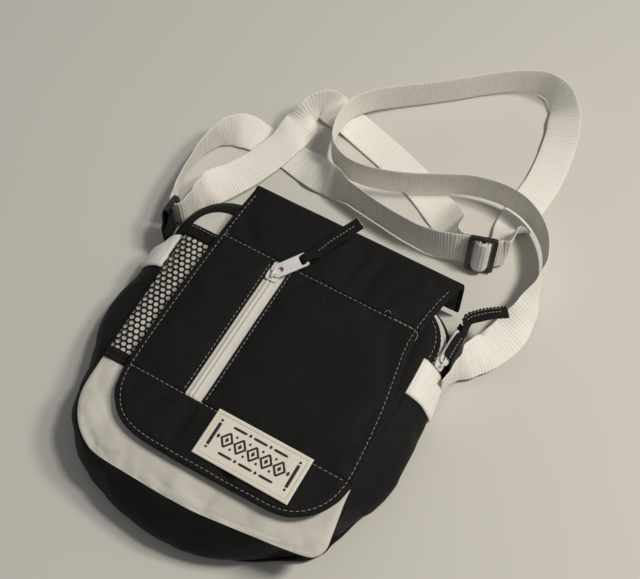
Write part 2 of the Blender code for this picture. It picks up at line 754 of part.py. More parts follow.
# passes through the adjuster: x and z in its frame
ADJUSTER_PASS = [
    (-13.5, -4.6), (-10.6, -3.0), (-8.3, -2.6), (-6.2, -1.5), (-4.7, 1.4),
    (-3.0, 3.6), (0.0, 4.3), (3.0, 3.6), (4.7, 1.4), (6.2, -1.5),
    (8.3, -2.6), (11.0, -2.6), (15.0, -2.6), (21.0, -2.2),
]
ADJUSTER_END_LOOP = [
    (17.5, -7.5), (11.0, -5.0), (6.2, -4.0), (3.4, -1.9), (2.6, 0.4), (2.0, 2.1),
    (0.0, 2.7), (-2.0, 2.1), (-2.6, 0.4), (-3.2, -1.9), (-4.2, -4.2), (-6.0, -6.4),
]
# tab round the ring's bar: x, y
TAB_PATH = [
    (-111.0, 58.0), (-112.4, 64.0), (-114.4, 69.5), (-115.0, 73.5), (-116.0, 76.0),
    (-118.0, 76.8), (-120.0, 76.0), (-121.0, 73.5), (-119.6, 69.0), (-116.4, 65.0),
    (-114.0, 60.0),
]


def adjuster_frame():
    """Local x along the webbing towards the left, y down across it, z out of its face to -Y."""
    along = Vector((-0.95, -0.30, 0.0)).normalized()
    level = Vector((along.y, -along.x, 0.0))
    upright = Vector((0.0, 0.0, 1.0))
    across = level * math.cos(ADJUSTER_LEAN) + upright * math.sin(ADJUSTER_LEAN)
    return frame_from(ADJUSTER_CENTRE, along, -across, across.cross(along))


def adjuster_stations(path, frame):
    across = frame.to_3x3() @ Vector((0, -1, 0))
    return [(*(frame @ Vector((x, 0, z))), *across) for x, z in path]


def build_strap(frame):
    stations = [
        *STRAP_TO_ADJUSTER,
        *adjuster_stations(ADJUSTER_PASS, frame),
        *STRAP_VIA_RING,
        *adjuster_stations(ADJUSTER_END_LOOP, frame),
    ]
    ribbon("strap_webbing", with_width(stations, WEB_W), WEB_T, WHITE_WEAVE)


def build_adjuster(frame):
    """Plate with two slots either side of a middle bar."""
    combine(
        "strap_adjuster",
        ((-10.0, -15.5, -1.3), (10.0, 15.5, 1.3)),
        [
            ("DIFFERENCE", (-7.0, -13.1, -3), (-1.5, 13.1, 3)),
            ("DIFFERENCE", (1.5, -13.1, -3), (7.0, 13.1, 3)),
        ],
        frame,
        HARDWARE_BLACK,
        bevel=0.4,
    )


def build_ring():
    """Rectangular ring standing on edge at the left side."""
    ring = combine(
        "strap_ring",
        ((-1.5, -1.5, -15.5), (1.5, 12.5, 15.5)),
        [("DIFFERENCE", (-3, 1.5, -12.9), (3, 9.5, 12.9))],
        Matrix.Translation(RING_CENTRE),
        HARDWARE_BLACK,
        bevel=0.4,
    )
    set_origin(ring, RING_CENTRE)


def build_ring_tab():
    stations = [(x, y, RING_CENTRE[2], 0, 0, 1) for x, y in TAB_PATH]
    ribbon("ring_tab", with_width(stations, TAB_W), TAB_T, BLACK_CLOTH)


clear_scene()
build_panels()
build_side_wall()
build_webbing_bands()
build_pocket()
build_flap()
build_flap_spine()
build_flap_zip_set()
build_main_zip_set()
strap_frame = adjuster_frame()
build_strap(strap_frame)
build_adjuster(strap_frame)
build_ring()
build_ring_tab()
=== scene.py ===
# A flat shoulder bag lying on its back: a black body with a white front, a black flap over it
# and a long white strap. x runs to the bag's right, y up towards its carrying edge and z up from
# the floor, out of the front. Sizes are in millimetres and become metres as a mesh is made.
import math
from bisect import bisect_left, bisect_right
from contextlib import contextmanager

import bmesh
import bpy
import numpy as np
from mathutils import Matrix, Vector, noise
from mathutils.bvhtree import BVHTree


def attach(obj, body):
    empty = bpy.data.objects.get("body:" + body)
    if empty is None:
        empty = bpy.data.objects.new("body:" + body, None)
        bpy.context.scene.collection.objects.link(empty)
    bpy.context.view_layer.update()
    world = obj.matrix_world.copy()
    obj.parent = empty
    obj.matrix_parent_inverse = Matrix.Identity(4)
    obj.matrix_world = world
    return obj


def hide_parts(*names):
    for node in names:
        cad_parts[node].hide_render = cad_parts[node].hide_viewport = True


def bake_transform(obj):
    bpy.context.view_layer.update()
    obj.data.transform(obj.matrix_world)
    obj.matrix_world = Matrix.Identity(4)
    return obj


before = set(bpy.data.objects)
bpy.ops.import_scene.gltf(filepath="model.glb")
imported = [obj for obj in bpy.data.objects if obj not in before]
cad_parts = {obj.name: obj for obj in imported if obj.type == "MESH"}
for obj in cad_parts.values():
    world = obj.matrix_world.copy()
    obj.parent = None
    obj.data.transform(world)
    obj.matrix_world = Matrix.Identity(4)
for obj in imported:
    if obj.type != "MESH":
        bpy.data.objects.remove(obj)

MM = 0.001
UP = Vector((0, 0, 1))

# ---------------------------------------------------------------- sizes shared by several parts

# front panel: half widths at its top and bottom, their heights, and corner radii
LEFT_TOP, LEFT_LOW, RIGHT_TOP, RIGHT_LOW = 95.0, 87.0, 86.0, 90.0
PANEL_TOP, PANEL_LOW = 88.0, -97.0
TOP_R, ZIP_R, LOW_R_LEFT, LOW_R_RIGHT = 20.0, 24.0, 40.0, 12.0
MID_Y = -5.0  # centre of the body

# how far the side wall stands out: as drawn in PROFILE, at the top, and at the top left
BULGE_LOW, BULGE_UP, BULGE_TOP = 18.5, 15.0, 22.0
# the same below the top, every 10 degrees round the body's centre, starting at +x
REACH = [
    20.2, 19.9, 18.6, 16.6, 15.0, 15.0, 15.0, 15.0, 15.0, 15.0, 15.0, 15.0,
    15.0, 15.0, 17.0, 20.5, 20.6, 23.2, 24.0, 21.8, 16.2, 10.0, 7.0, 7.2,
    11.0, 16.2, 18.2, 19.2, 18.0, 15.2, 8.6, -4.5, -14.0, 2.5, 15.2, 19.4,
]
# section of the side wall, from the front seam down to the back: reach, z
PROFILE = [
    (0.0, 36.6), (7.0, 32.5), (12.5, 26.8), (16.5, 20.0), (18.5, 13.0), (17.2, 7.5), (12.5, 4.3),
]

BAND_LOW_Y, BAND_TOP_Y = 31.0, 58.0  # webbing bands down the side walls
SPLIT_Y, GAP = 43.0, 0.35  # where the side wall is divided, and the gap left between its parts
ZIP_START_X = -LEFT_TOP + TOP_R + 4.0  # left end of the main zip, on the top edge
COIL_FRONT, COIL_BACK = 0.250, 0.313  # main zip coils, as shares of the wall's PROFILE

SEAM_UP, SEAM_LOW = 67.5, -40.5  # seams across the flap
WINDOW_LEFT, WINDOW_RIGHT, ZIP_X = -27.5, -15.0, -22.5  # slot in the flap and its zip
SLIDER_Y = 58.0
PULLER_LEN = 23.0
BAR_Z = 3.5  # pivot of a pull tab above its slider's origin


# ---------------------------------------------------------------- curves


def smoothstep(start, end, x):
    k = max(0.0, min(1.0, (x - start) / (end - start)))
    return k * k * (3 - 2 * k)


def ripple(x, y, z):
    return noise.noise(Vector((x, y, z)))


def angles(count):
    return [2 * math.pi * k / count for k in range(count)]


def fillet(corners, step=6.0):
    """Rounds corners given as x, y, radius, with a point about every `step` degrees."""
    out = []
    for i, (x, y, radius) in enumerate(corners):
        tip = Vector((x, y))
        if radius <= 0:
            out.append(tip)
            continue
        before = Vector(corners[i - 1][:2])
        after = Vector(corners[(i + 1) % len(corners)][:2])
        back, ahead = (before - tip).normalized(), (after - tip).normalized()
        half = math.acos(max(-1, min(1, back.dot(ahead)))) / 2
        run = radius / math.tan(half)
        centre = tip + (back + ahead).normalized() * (radius / math.sin(half))
        start, end = tip + back * run - centre, tip + ahead * run - centre
        turn = math.atan2(start.x * end.y - start.y * end.x, start.dot(end))
        count = max(2, int(abs(math.degrees(turn)) / step) + 1)
        for k in range(count + 1):
            spoke = start.copy()
            spoke.rotate(Matrix.Rotation(turn * k / count, 2))
            out.append(centre + spoke)
    return out


def with_normals(points, side, closed=False):
    """Pairs of point and normal; side is 1 or -1 and picks the right or left of the path."""
    out = []
    count = len(points)
    for i, point in enumerate(points):
        before = points[(i - 1) % count] if closed else points[max(0, i - 1)]
        after = points[(i + 1) % count] if closed else points[min(count - 1, i + 1)]
        along = (after - before).normalized()
        out.append((point, Vector((along.y, -along.x)) * side))
    return out


def run_lengths(points):
    run = [0.0]
    for start, end in zip(points, points[1:]):
        run.append(run[-1] + (end - start).length)
    return run


def even(points, step):
    """The same polyline at even spacing."""
    run = run_lengths(points)
    count = max(2, int(round(run[-1] / step)))
    out = []
    for k in range(count + 1):
        distance = run[-1] * k / count
        j = max(0, min(bisect_left(run, distance) - 1, len(points) - 2))
        share = (distance - run[j]) / max(1e-9, run[j + 1] - run[j])
        out.append(points[j].lerp(points[j + 1], min(1.0, max(0.0, share))))
    return out


def cubic(near, u):
    """Catmull-Rom value between the middle two of four neighbours."""
    return 0.5 * (
        2 * near[1]
        + (near[2] - near[0]) * u
        + (2 * near[0] - 5 * near[1] + 4 * near[2] - near[3]) * u * u
        + (3 * near[1] - near[0] - 3 * near[2] + near[3]) * u**3
    )


def catmull(points, k):
    """Smooth curve through the points, k from 0 to 1."""
    last = len(points) - 1
    x = min(max(k, 0.0), 1.0) * last
    i = min(int(x), last - 1)
    near = [Vector(points[min(max(j, 0), last)]) for j in (i - 1, i, i + 1, i + 2)]
    if i == 0:
        near[0] = 2 * near[1] - near[2]
    if i == last - 1:
        near[3] = 2 * near[2] - near[1]
    return cubic(near, x - i)


def distance_to(poly, points):
    """Distance from 2-D points to a polyline."""
    best = np.full(len(points), 1e9)
    for start, end in zip(poly, poly[1:]):
        start, end = np.array(start, float), np.array(end, float)
        edge = end - start
        share = np.clip(((points - start) @ edge) / max(1e-9, edge @ edge), 0, 1)
        gap = np.linalg.norm(points - (start + share[:, None] * edge), axis=1)
        best = np.minimum(best, gap)
    return best


def x_limits(poly, y):
    """Leftmost and rightmost x where a polyline crosses a height."""
    crossings = []
    for (xa, ya), (xb, yb) in zip(poly, poly[1:]):
        if (ya - y) * (yb - y) <= 0 and ya != yb:
            crossings.append(xa + (xb - xa) * (y - ya) / (yb - ya))
    return min(crossings), max(crossings)


def levels(*spans):
    """Row heights from spans of start, end, count and where rows gather.

    They gather at the start (-1), at the end (1) or nowhere (0).
    """
    out = []
    for start, end, count, gather in spans:
        for k in range(count):
            share = k / count
            if gather == -1:
                share = 1 - math.cos(share * math.pi / 2)
            elif gather == 1:
                share = math.sin(share * math.pi / 2)
            out.append(start + (end - start) * share)
    return out + [spans[-1][1]]


def axes_at(origin, *axes):
    """Matrix of a local frame with these three axes."""
    turn = Matrix([axis.normalized() for axis in axes]).transposed()
    return Matrix.Translation(origin) @ turn.to_4x4()


# ---------------------------------------------------------------- body outline and side wall


def height_share(y):
    return (y - PANEL_LOW) / (PANEL_TOP - PANEL_LOW)


def left_at(y):
    return -(LEFT_LOW + (LEFT_TOP - LEFT_LOW) * height_share(y))


def right_at(y):
    return RIGHT_LOW + (RIGHT_TOP - RIGHT_LOW) * height_share(y)


CORNER = Vector((96.0, -87.5))  # the lower right corner, tucked under
CORNER_OUT = Vector((0.62, -0.78)).normalized()
# corners as x, y, radius
LEFT_CORNER = (-LEFT_TOP, PANEL_TOP, TOP_R)
RIGHT_CORNER = (RIGHT_TOP, PANEL_TOP, ZIP_R)
LOWER = [
    (-LEFT_LOW, PANEL_LOW, LOW_R_LEFT),
    (10.0, -98.5, 150.0),
    (CORNER.x, CORNER.y, LOW_R_RIGHT),
    (right_at(-45.0), -45.0, 60.0),
]
RING = fillet([LEFT_CORNER, *LOWER, RIGHT_CORNER])
RING_POLY = [tuple(point) for point in RING] + [tuple(RING[0])]


def bulge(point, out):
    """How far the side wall stands out at an outline point."""
    left = smoothstep(0.0, 60.0, -point.x)
    top = BULGE_UP + (BULGE_TOP - BULGE_UP) * max(0.0, out.y) ** 2 * left
    sector = (math.degrees(math.atan2(point.y - MID_Y, point.x)) % 360) / 10
    i = int(sector)
    low = cubic([REACH[(i + j) % 36] for j in (-1, 0, 1, 2)], sector - i)
    return top + (low - top) * (1 - smoothstep(46.0, 57.0, point.y))


def aim(point, out):
    """Near the tucked corner everything moves one way, so the cloth never crosses itself."""
    near = 1 - smoothstep(14.0, 46.0, (point - CORNER).length)
    return out.lerp(CORNER_OUT, near).normalized()


def wall(point, out, down, lift):
    """Point on the side wall: down runs 0 to 1 along PROFILE, lift is height off the cloth."""
    scale = bulge(point, out) / BULGE_LOW
    out = aim(point, out)
    spot = catmull(PROFILE, down)
    slope = catmull(PROFILE, min(1, down + 0.01)) - catmull(PROFILE, max(0, down - 0.01))
    along = Vector((slope.x * max(scale, 0.02), slope.y)).normalized()
    normal = Vector((-along.y, along.x))
    reach, z = spot.x * scale + normal.x * lift, spot.y + normal.y * lift
    return Vector((point.x + out.x * reach, point.y + out.y * reach, z))


def wall_normal(point, out, down):
    return (wall(point, out, down, 1.0) - wall(point, out, down, 0.0)).normalized()


# ---------------------------------------------------------------- materials (lengths in metres)


class Net:
    """A node material written as a chain of small calls that return output sockets."""

    def __init__(self, name, viewport):
        self.material = bpy.data.materials.new(name)
        self.material.use_nodes = True
        self.material.diffuse_color = (*viewport, 1)
        self.tree = self.material.node_tree

    def put(self, socket, value):
        if isinstance(value, bpy.types.NodeSocket):
            self.tree.links.new(value, socket)
        else:
            socket.default_value = (*value, 1.0) if socket.type == "RGBA" else value

    def add(self, kind, inputs, **settings):
        node = self.tree.nodes.new("ShaderNode" + kind)
        for key, value in settings.items():
            setattr(node, key, value)
        for key, value in inputs.items():
            self.put(node.inputs[key], value)
        return node

    def math(self, operation, *values):
        return self.add("Math", dict(enumerate(values)), operation=operation).outputs[0]

    def mul(self, value, by):
        return self.math("MULTIPLY", value, by)

    def mul_add(self, value, by, plus):
        return self.math("MULTIPLY_ADD", value, by, plus)

    def mix(self, amount, low, high):
        return self.add("Mix", {0: amount, 6: low, 7: high}, data_type="RGBA").outputs[2]

    def mix_values(self, amount, low, high):
        return self.add("Mix", {0: amount, 2: low, 3: high}).outputs[0]

    def stretch(self, vector, factors):
        return self.add("VectorMath", {0: vector, 1: factors}, operation="MULTIPLY").outputs[0]

    def noise(self, vector, scale, detail=3.0, rough=0.55, distort=0.0):
        inputs = {
            "Vector": vector,
            "Scale": scale,
            "Detail": detail,
            "Roughness": rough,
            "Distortion": distort,
        }
        return self.add("TexNoise", inputs).outputs[0]

    def ramp(self, value, start, end):
        inputs = {0: value, 1: start, 2: end}
        return self.add("MapRange", inputs, interpolation_type="SMOOTHSTEP").outputs[0]

    def uv(self):
        return self.add("UVMap", {}, uv_map="UVMap").outputs[0]

    def obj(self):
        return self.add("TexCoord", {}).outputs["Object"]

    def split(self, vector):
        return self.add("SeparateXYZ", {"Vector": vector}).outputs

    def sine(self, value, pitch):
        return self.math("SINE", self.mul(value, by=math.pi / pitch))

    def threads(self, value, pitch):
        """Rounded threads, 0..1."""
        return self.math("ABSOLUTE", self.sine(value, pitch))

    def weave(self, vector, pitch_x, pitch_y):
        """Plain weave height, 0..1."""
        axes = self.split(vector)
        wave_x, wave_y = self.sine(axes[0], pitch_x), self.sine(axes[1], pitch_y)
        high_x, high_y = self.math("ABSOLUTE", wave_x), self.math("ABSOLUTE", wave_y)
        warp_up = self.math("GREATER_THAN", self.mul(wave_x, by=wave_y), 0.0)
        warp = self.mul(high_x, by=self.mul_add(high_y, by=0.45, plus=0.55))
        weft = self.mul(high_y, by=self.mul_add(high_x, by=0.45, plus=0.55))
        return self.mix_values(warp_up, weft, warp)

    def bump(self, height, strength, distance, normal=None):
        inputs = {"Strength": strength, "Distance": distance, "Height": height}
        if normal is not None:
            inputs["Normal"] = normal
        return self.add("Bump", inputs).outputs[0]

    def done(self, colour, rough, normal, **more):
        shader = self.tree.nodes["Principled BSDF"]
        self.put(shader.inputs["Base Color"], colour)
        self.put(shader.inputs["Roughness"], rough)
        self.put(shader.inputs["Normal"], normal)
        for key, value in more.items():
            self.put(shader.inputs[key.replace("_", " ")], value)
        return self.material


def make_cloth(name, dark, light, pitch, rough, bump, sheen, lint=0.0, flat=True):
    """Woven cloth; the weave follows the UV map when flat, else object space."""
    net = Net(name, light)
    place = net.uv() if flat else net.obj()
    obj = net.obj()
    weave = net.weave(place, pitch, pitch * 1.08)
    slub = net.noise(net.stretch(place, (1.0, 0.16, 1.0)), scale=900.0, detail=2.0)
    large = net.noise(obj, scale=22.0, detail=4.0, rough=0.6)
    worn = net.noise(obj, scale=95.0, detail=5.0, rough=0.65)
    # colour mixes random mottling with painted shade: darker where the weave sits low between
    # threads
    tone = net.mul_add(weave, by=0.35, plus=net.mul(large, by=0.65))
    colour = net.mix(net.ramp(tone, start=0.15, end=0.85), dark, light)
    if lint:
        dots = net.noise(obj, scale=620.0, detail=1.0, rough=0.4)
        dots = net.ramp(dots, start=0.80, end=0.84)
        drawn = net.stretch(obj, (1.0, 0.22, 1.0))
        hairs = net.noise(drawn, scale=420.0, detail=1.0, rough=0.4, distort=1.4)
        hairs = net.ramp(hairs, start=0.79, end=0.83)
        amount = net.mul(net.math("MAXIMUM", dots, hairs), by=lint)
        colour = net.mix(amount, colour, (0.16, 0.15, 0.14))
    height = net.mul_add(slub, by=0.35, plus=weave)
    height = net.mul_add(worn, by=0.4, plus=height)
    lumps = net.noise(obj, scale=60.0, detail=4.0, rough=0.6)
    normal = net.bump(lumps, strength=0.35, distance=0.0012)
    normal = net.bump(height, bump, distance=0.00022, normal=normal)
    rough = net.mul_add(worn, by=0.16, plus=rough - 0.08)
    return net.done(
        colour, rough, normal, Sheen_Weight=sheen, Sheen_Roughness=0.45, Specular_IOR_Level=0.2
    )


def make_canvas():
    """Brushed off-white cloth with handling marks and faint stains."""
    net = Net("white_brushed_cloth", viewport=(0.75, 0.71, 0.64))
    place, obj = net.uv(), net.obj()
    weave = net.weave(place, pitch_x=0.00062, pitch_y=0.00066)
    fuzz = net.noise(obj, scale=1500.0, detail=3.0, rough=0.7)
    large = net.noise(obj, scale=26.0, detail=4.0, rough=0.62, distort=0.4)
    stains = net.noise(obj, scale=58.0, detail=5.0, rough=0.6, distort=0.8)
    stains = net.ramp(stains, start=0.52, end=0.74)
    tone = net.ramp(large, start=0.3, end=0.75)
    colour = net.mix(tone, (0.55, 0.525, 0.465), (0.68, 0.655, 0.60))
    colour = net.mix(net.mul(stains, by=0.38), colour, (0.38, 0.34, 0.27))
    grime = net.noise(net.stretch(obj, (1.0, 1.7, 1.0)), scale=210.0, detail=3.0, rough=0.6)
    grime = net.ramp(grime, start=0.66, end=0.8)
    colour = net.mix(net.mul(grime, by=0.2), colour, (0.30, 0.27, 0.23))
    colour = net.mix(net.mul(fuzz, by=0.14), colour, (0.80, 0.77, 0.71))
    height = net.mul_add(fuzz, by=0.7, plus=weave)
    lumps = net.noise(obj, scale=85.0, detail=5.0, rough=0.6)
    normal = net.bump(lumps, strength=0.3, distance=0.0007)
    normal = net.bump(height, strength=0.5, distance=0.0002, normal=normal)
    return net.done(colour, 0.92, normal, Sheen_Weight=0.35, Sheen_Roughness=0.6)


def make_webbing():
    """Webbing: cross ribs come from the mesh, the finer threads from here, as bumps and as painted
    shade in their valleys.
    """
    light, dark = (0.86, 0.835, 0.78), (0.66, 0.63, 0.57)
    net = Net("white_webbing", light)
    place, obj = net.uv(), net.obj()
    axes = net.split(place)
    across = net.threads(axes[0], pitch=0.00085)
    along = net.threads(axes[1], pitch=0.0016)
    slant = net.math("ADD", axes[0], net.mul(axes[1], by=0.9))
    twist = net.threads(slant, pitch=0.0011)
    height = net.mul_add(across, by=0.5, plus=net.mul(along, by=0.6))
    height = net.mul_add(twist, by=0.35, plus=height)
    large = net.noise(obj, scale=30.0, detail=4.0, rough=0.6)
    fine = net.noise(obj, scale=1300.0, detail=2.0, rough=0.6)
    # colour is darker in the thread valleys (painted shade), with random mottling on top
    tone = net.mul_add(height, by=0.55, plus=net.mul(large, by=0.5))
    colour = net.mix(net.ramp(tone, start=0.1, end=1.0), dark, light)
    stains = net.mul(net.ramp(large, start=0.55, end=0.8), by=0.25)
    colour = net.mix(stains, colour, (0.52, 0.47, 0.38))
    colour = net.mix(net.mul(fine, by=0.12), colour, (0.9, 0.88, 0.84))
    normal = net.bump(height, strength=0.6, distance=0.00022)
    return net.done(
        colour, 0.62, normal, Sheen_Weight=0.3, Sheen_Roughness=0.4, Specular_IOR_Level=0.5
    )


def make_tape():
    """Zip tape: fine herringbone."""
    net = Net("zip_tape_cloth", viewport=(0.72, 0.70, 0.64))
    place, obj = net.uv(), net.obj()
    axes = net.split(place)
    fold_width = 0.0016
    fold = net.math("PINGPONG", axes[0], fold_width)
    height = net.threads(net.math("ADD", fold, axes[1]), pitch=0.0007)
    large = net.noise(obj, scale=60.0, detail=4.0, rough=0.6)
    # colour is darker where the herringbone sits low (painted shade), mixed with random mottling
    tone = net.mul_add(height, by=0.4, plus=net.mul(large, by=0.6))
    colour = net.mix(tone, (0.56, 0.53, 0.47), (0.76, 0.735, 0.69))
    normal = net.bump(height, strength=0.45, distance=0.00015)
    return net.done(colour, 0.7, normal, Sheen_Weight=0.25)


def make_thread(name, dark, light):
    net = Net(name, light)
    obj = net.obj()
    colour = net.mix(net.noise(obj, scale=900.0, detail=2.0, rough=0.6), dark, light)
    fibres = net.noise(obj, scale=2600.0, detail=2.0)
    normal = net.bump(fibres, strength=0.5, distance=0.0001)
    return net.done(colour, 0.55, normal, Sheen_Weight=0.3)


def make_hard(name, dark, light, rough, worn, wear, scratch):
    """Moulded plastic or enamel: edges scuffed to the worn colour, and fine scratches."""
    net = Net(name, light)
    obj = net.obj()
    pointiness = net.add("NewGeometry", {}).outputs["Pointiness"]
    edge = net.ramp(pointiness, start=0.515, end=0.60)
    patch = net.noise(obj, scale=380.0, detail=4.0, rough=0.7)
    patch = net.ramp(patch, start=0.42, end=0.66)
    lines = net.noise(net.stretch(obj, (1.0, 0.08, 0.4)), scale=1500.0, detail=2.0, rough=0.6)
    lines = net.ramp(lines, start=0.60, end=0.70)
    large = net.noise(obj, scale=120.0, detail=4.0, rough=0.6)
    colour = net.mix(large, dark, light)
    scuffs = net.mul(net.mul(edge, by=patch), by=wear)
    colour = net.mix(scuffs, colour, worn)
    grain = net.noise(obj, scale=1800.0, detail=3.0, rough=0.6)
    rough = net.mul_add(large, by=0.2, plus=rough - 0.1)
    rough = net.mul_add(lines, by=0.2 * scratch, plus=rough)
    normal = net.bump(grain, strength=0.18, distance=0.0001)
    normal = net.bump(lines, strength=0.25 * scratch, distance=0.00006, normal=normal)
    return net.done(colour, rough, normal, Specular_IOR_Level=0.5)


def make_floor():
    net = Net("floor_paint", viewport=(0.6, 0.58, 0.54))
    obj = net.obj()
    large = net.noise(obj, scale=3.0, detail=3.0, rough=0.5)
    colour = net.mix(large, (0.60, 0.585, 0.545), (0.62, 0.605, 0.565))
    grain = net.noise(obj, scale=900.0, detail=2.0, rough=0.5)
    normal = net.bump(grain, strength=0.06, distance=0.0002)
    return net.done(colour, 0.62, normal, Specular_IOR_Level=0.25)


CLOTH = make_cloth(
    "black_pack_cloth", dark=(0.0026, 0.0026, 0.0029), light=(0.0068, 0.0066, 0.0065),
    pitch=0.00072, rough=0.72, bump=0.42, sheen=0.012, lint=0.35,
)
LINING = make_cloth(
    "black_lining_cloth", dark=(0.004, 0.004, 0.0044), light=(0.009, 0.009, 0.0094),
    pitch=0.0005, rough=0.55, bump=0.3, sheen=0.02, lint=0.2,
)
TRIM = make_cloth(
    "black_trim_webbing", dark=(0.0036, 0.0036, 0.0036), light=(0.0100, 0.0097, 0.0094),
    pitch=0.0011, rough=0.8, bump=0.6, sheen=0.02, lint=0.4,
)
MESH = make_cloth(
    "black_mesh_yarn", dark=(0.004, 0.004, 0.004), light=(0.010, 0.010, 0.010),
    pitch=0.0006, rough=0.7, bump=0.3, sheen=0.02, lint=0.15, flat=False,
)
CANVAS = make_canvas()
WEBBING = make_webbing()
TAPE = make_tape()
COIL = make_hard(
    "zip_coil_nylon", dark=(0.62, 0.60, 0.55), light=(0.74, 0.72, 0.67),
    rough=0.4, worn=(0.6, 0.57, 0.5), wear=0.15, scratch=0.2,
)
ENAMEL = make_hard(
    "white_enamel", dark=(0.70, 0.665, 0.665), light=(0.78, 0.745, 0.745),
    rough=0.33, worn=(0.50, 0.46, 0.42), wear=0.14, scratch=0.4,
)
PLASTIC = make_hard(
    "black_moulded_plastic", dark=(0.008, 0.008, 0.009), light=(0.016, 0.016, 0.017),
    rough=0.36, worn=(0.07, 0.07, 0.07), wear=0.6, scratch=0.6,
)
PATCH = make_cloth(
    "cream_label_cloth", dark=(0.70, 0.655, 0.56), light=(0.84, 0.80, 0.71),
    pitch=0.00075, rough=0.85, bump=0.6, sheen=0.2,
)
THREAD = make_thread("white_thread", dark=(0.30, 0.285, 0.265), light=(0.50, 0.48, 0.45))
INK = make_thread("black_thread", dark=(0.005, 0.005, 0.006), light=(0.018, 0.017, 0.017))
TAN = make_thread("tan_thread", dark=(0.34, 0.25, 0.17), light=(0.48, 0.38, 0.28))

# ---------------------------------------------------------------- mesh helpers


def add_object(name, data):
    obj = bpy.data.objects.new(name, data)
    bpy.context.scene.collection.objects.link(obj)
    return obj


def make(name, verts, faces, mat, uvs=None):
    mesh = bpy.data.meshes.new(name)
    verts = np.array(verts, float).reshape(-1, 3) * MM
    mesh.from_pydata(verts.tolist(), [], faces)
    if uvs is not None:
        layer = mesh.uv_layers.new(name="UVMap")
        corners = np.empty(len(mesh.loops), np.int32)
        mesh.loops.foreach_get("vertex_index", corners)
        layer.data.foreach_set("uv", (np.array(uvs, float)[corners] * MM).ravel())
    mesh.materials.append(mat)
    mesh.shade_smooth()
    return add_object(name, mesh)


def grid_faces(rows, cols, wrap=False, loop=False, keep=None):
    """Quads of a grid; wrap closes each row on itself, loop joins the last row to the first."""
    out = []
    for i in range(rows if loop else rows - 1):
        up = (i + 1) % rows
        for j in range(cols if wrap else cols - 1):
            if keep is not None and not keep(i, j):
                continue
            k = (j + 1) % cols
            out.append((i * cols + j, i * cols + k, up * cols + k, up * cols + j))
    return out


def shifted(faces, base):
    return [tuple(base + k for k in face) for face in faces]


def as_grid(rows):
    return np.array([[tuple(point) for point in row] for row in rows], float)


def sheet(name, rows, mat, uvs=None, flip=False, keep=None):
    """Open sheet through rows of points; its UV map is x, y unless given."""
    grid = as_grid(rows)
    if uvs is None:
        uvs = grid[:, :, :2]
    faces = grid_faces(*grid.shape[:2], keep=keep)
    if flip:
        faces = [face[::-1] for face in faces]
    return make(name, grid, faces, mat, np.array(uvs, float).reshape(-1, 2))


def tube(name, rings, mat, uvs=None, loop=False):
    """Body through rings of equal length, capped at both ends or closed in a loop."""
    grid = as_grid(rings)
    rows, cols = grid.shape[:2]
    faces = grid_faces(rows, cols, wrap=True, loop=loop)
    if not loop:
        faces.append(tuple(range(cols)))
        faces.append(tuple((rows - 1) * cols + j for j in reversed(range(cols))))
    part = make(name, grid, faces, mat, uvs)
    with editing(part) as edit:
        bmesh.ops.recalc_face_normals(edit, faces=edit.faces)
    return part


@contextmanager
def editing(part):
    edit = bmesh.new()
    edit.from_mesh(part.data)
    yield edit
    edit.to_mesh(part.data)
    edit.free()


def face_z(edit, way):
    """Makes the normals agree, and look mostly up (1) or down (-1)."""
    bmesh.ops.recalc_face_normals(edit, faces=edit.faces)
    if way * sum(face.normal.z * face.calc_area() for face in edit.faces) < 0:
        bmesh.ops.reverse_faces(edit, faces=edit.faces)


def outward(part):
    """Turns the faces so that most look away from the middle of the bag."""
    centre = Vector((0, 0, 0.018))
    score = sum(face.normal.dot(face.center - centre) * face.area for face in part.data.polygons)
    if score < 0:
        part.data.flip_normals()


def thicken(part, thick, offset=-1.0):
    solid = part.modifiers.new("solidify", "SOLIDIFY")
    solid.thickness = thick * MM
    solid.offset = offset


def subdivide(part):
    smooth = part.modifiers.new("subsurf", "SUBSURF")
    smooth.levels = smooth.render_levels = 1


def register(part, slot, *pieces, body="bag"):
    """The body a part moves with and the frame pieces it stands for; slot is not used."""
    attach(part, body)
    if pieces:
        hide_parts(*pieces)


def finish(part, thick, slot, *pieces, body="bag"):
    thicken(part, thick)
    subdivide(part)
    register(part, slot, *pieces, body=body)


def bake(part):
    """Turns the modifiers into mesh."""
    bpy.context.view_layer.update()
    graph = bpy.context.evaluated_depsgraph_get()
    mesh = bpy.data.meshes.new_from_object(
        part.evaluated_get(graph), preserve_all_data_layers=True, depsgraph=graph
    )
    part.modifiers.clear()
    part.data = mesh


def coords(mesh):
    flat = np.empty(len(mesh.vertices) * 3)
    mesh.vertices.foreach_get("co", flat)
    return flat.reshape(-1, 3)


def set_coords(part, verts):
    part.data.vertices.foreach_set("co", np.asarray(verts, float).ravel())
    part.data.update()


def join(name, parts):
    """One enamelled object from several."""
    edit = bmesh.new()
    for part in parts:
        edit.from_mesh(part.data)
    for face in edit.faces:
        face.smooth = True
    mesh = bpy.data.meshes.new(name)
    edit.to_mesh(mesh)
    edit.free()
    mesh.materials.append(ENAMEL)
    for part in parts:
        bpy.data.objects.remove(part, do_unlink=True)
    return add_object(name, mesh)


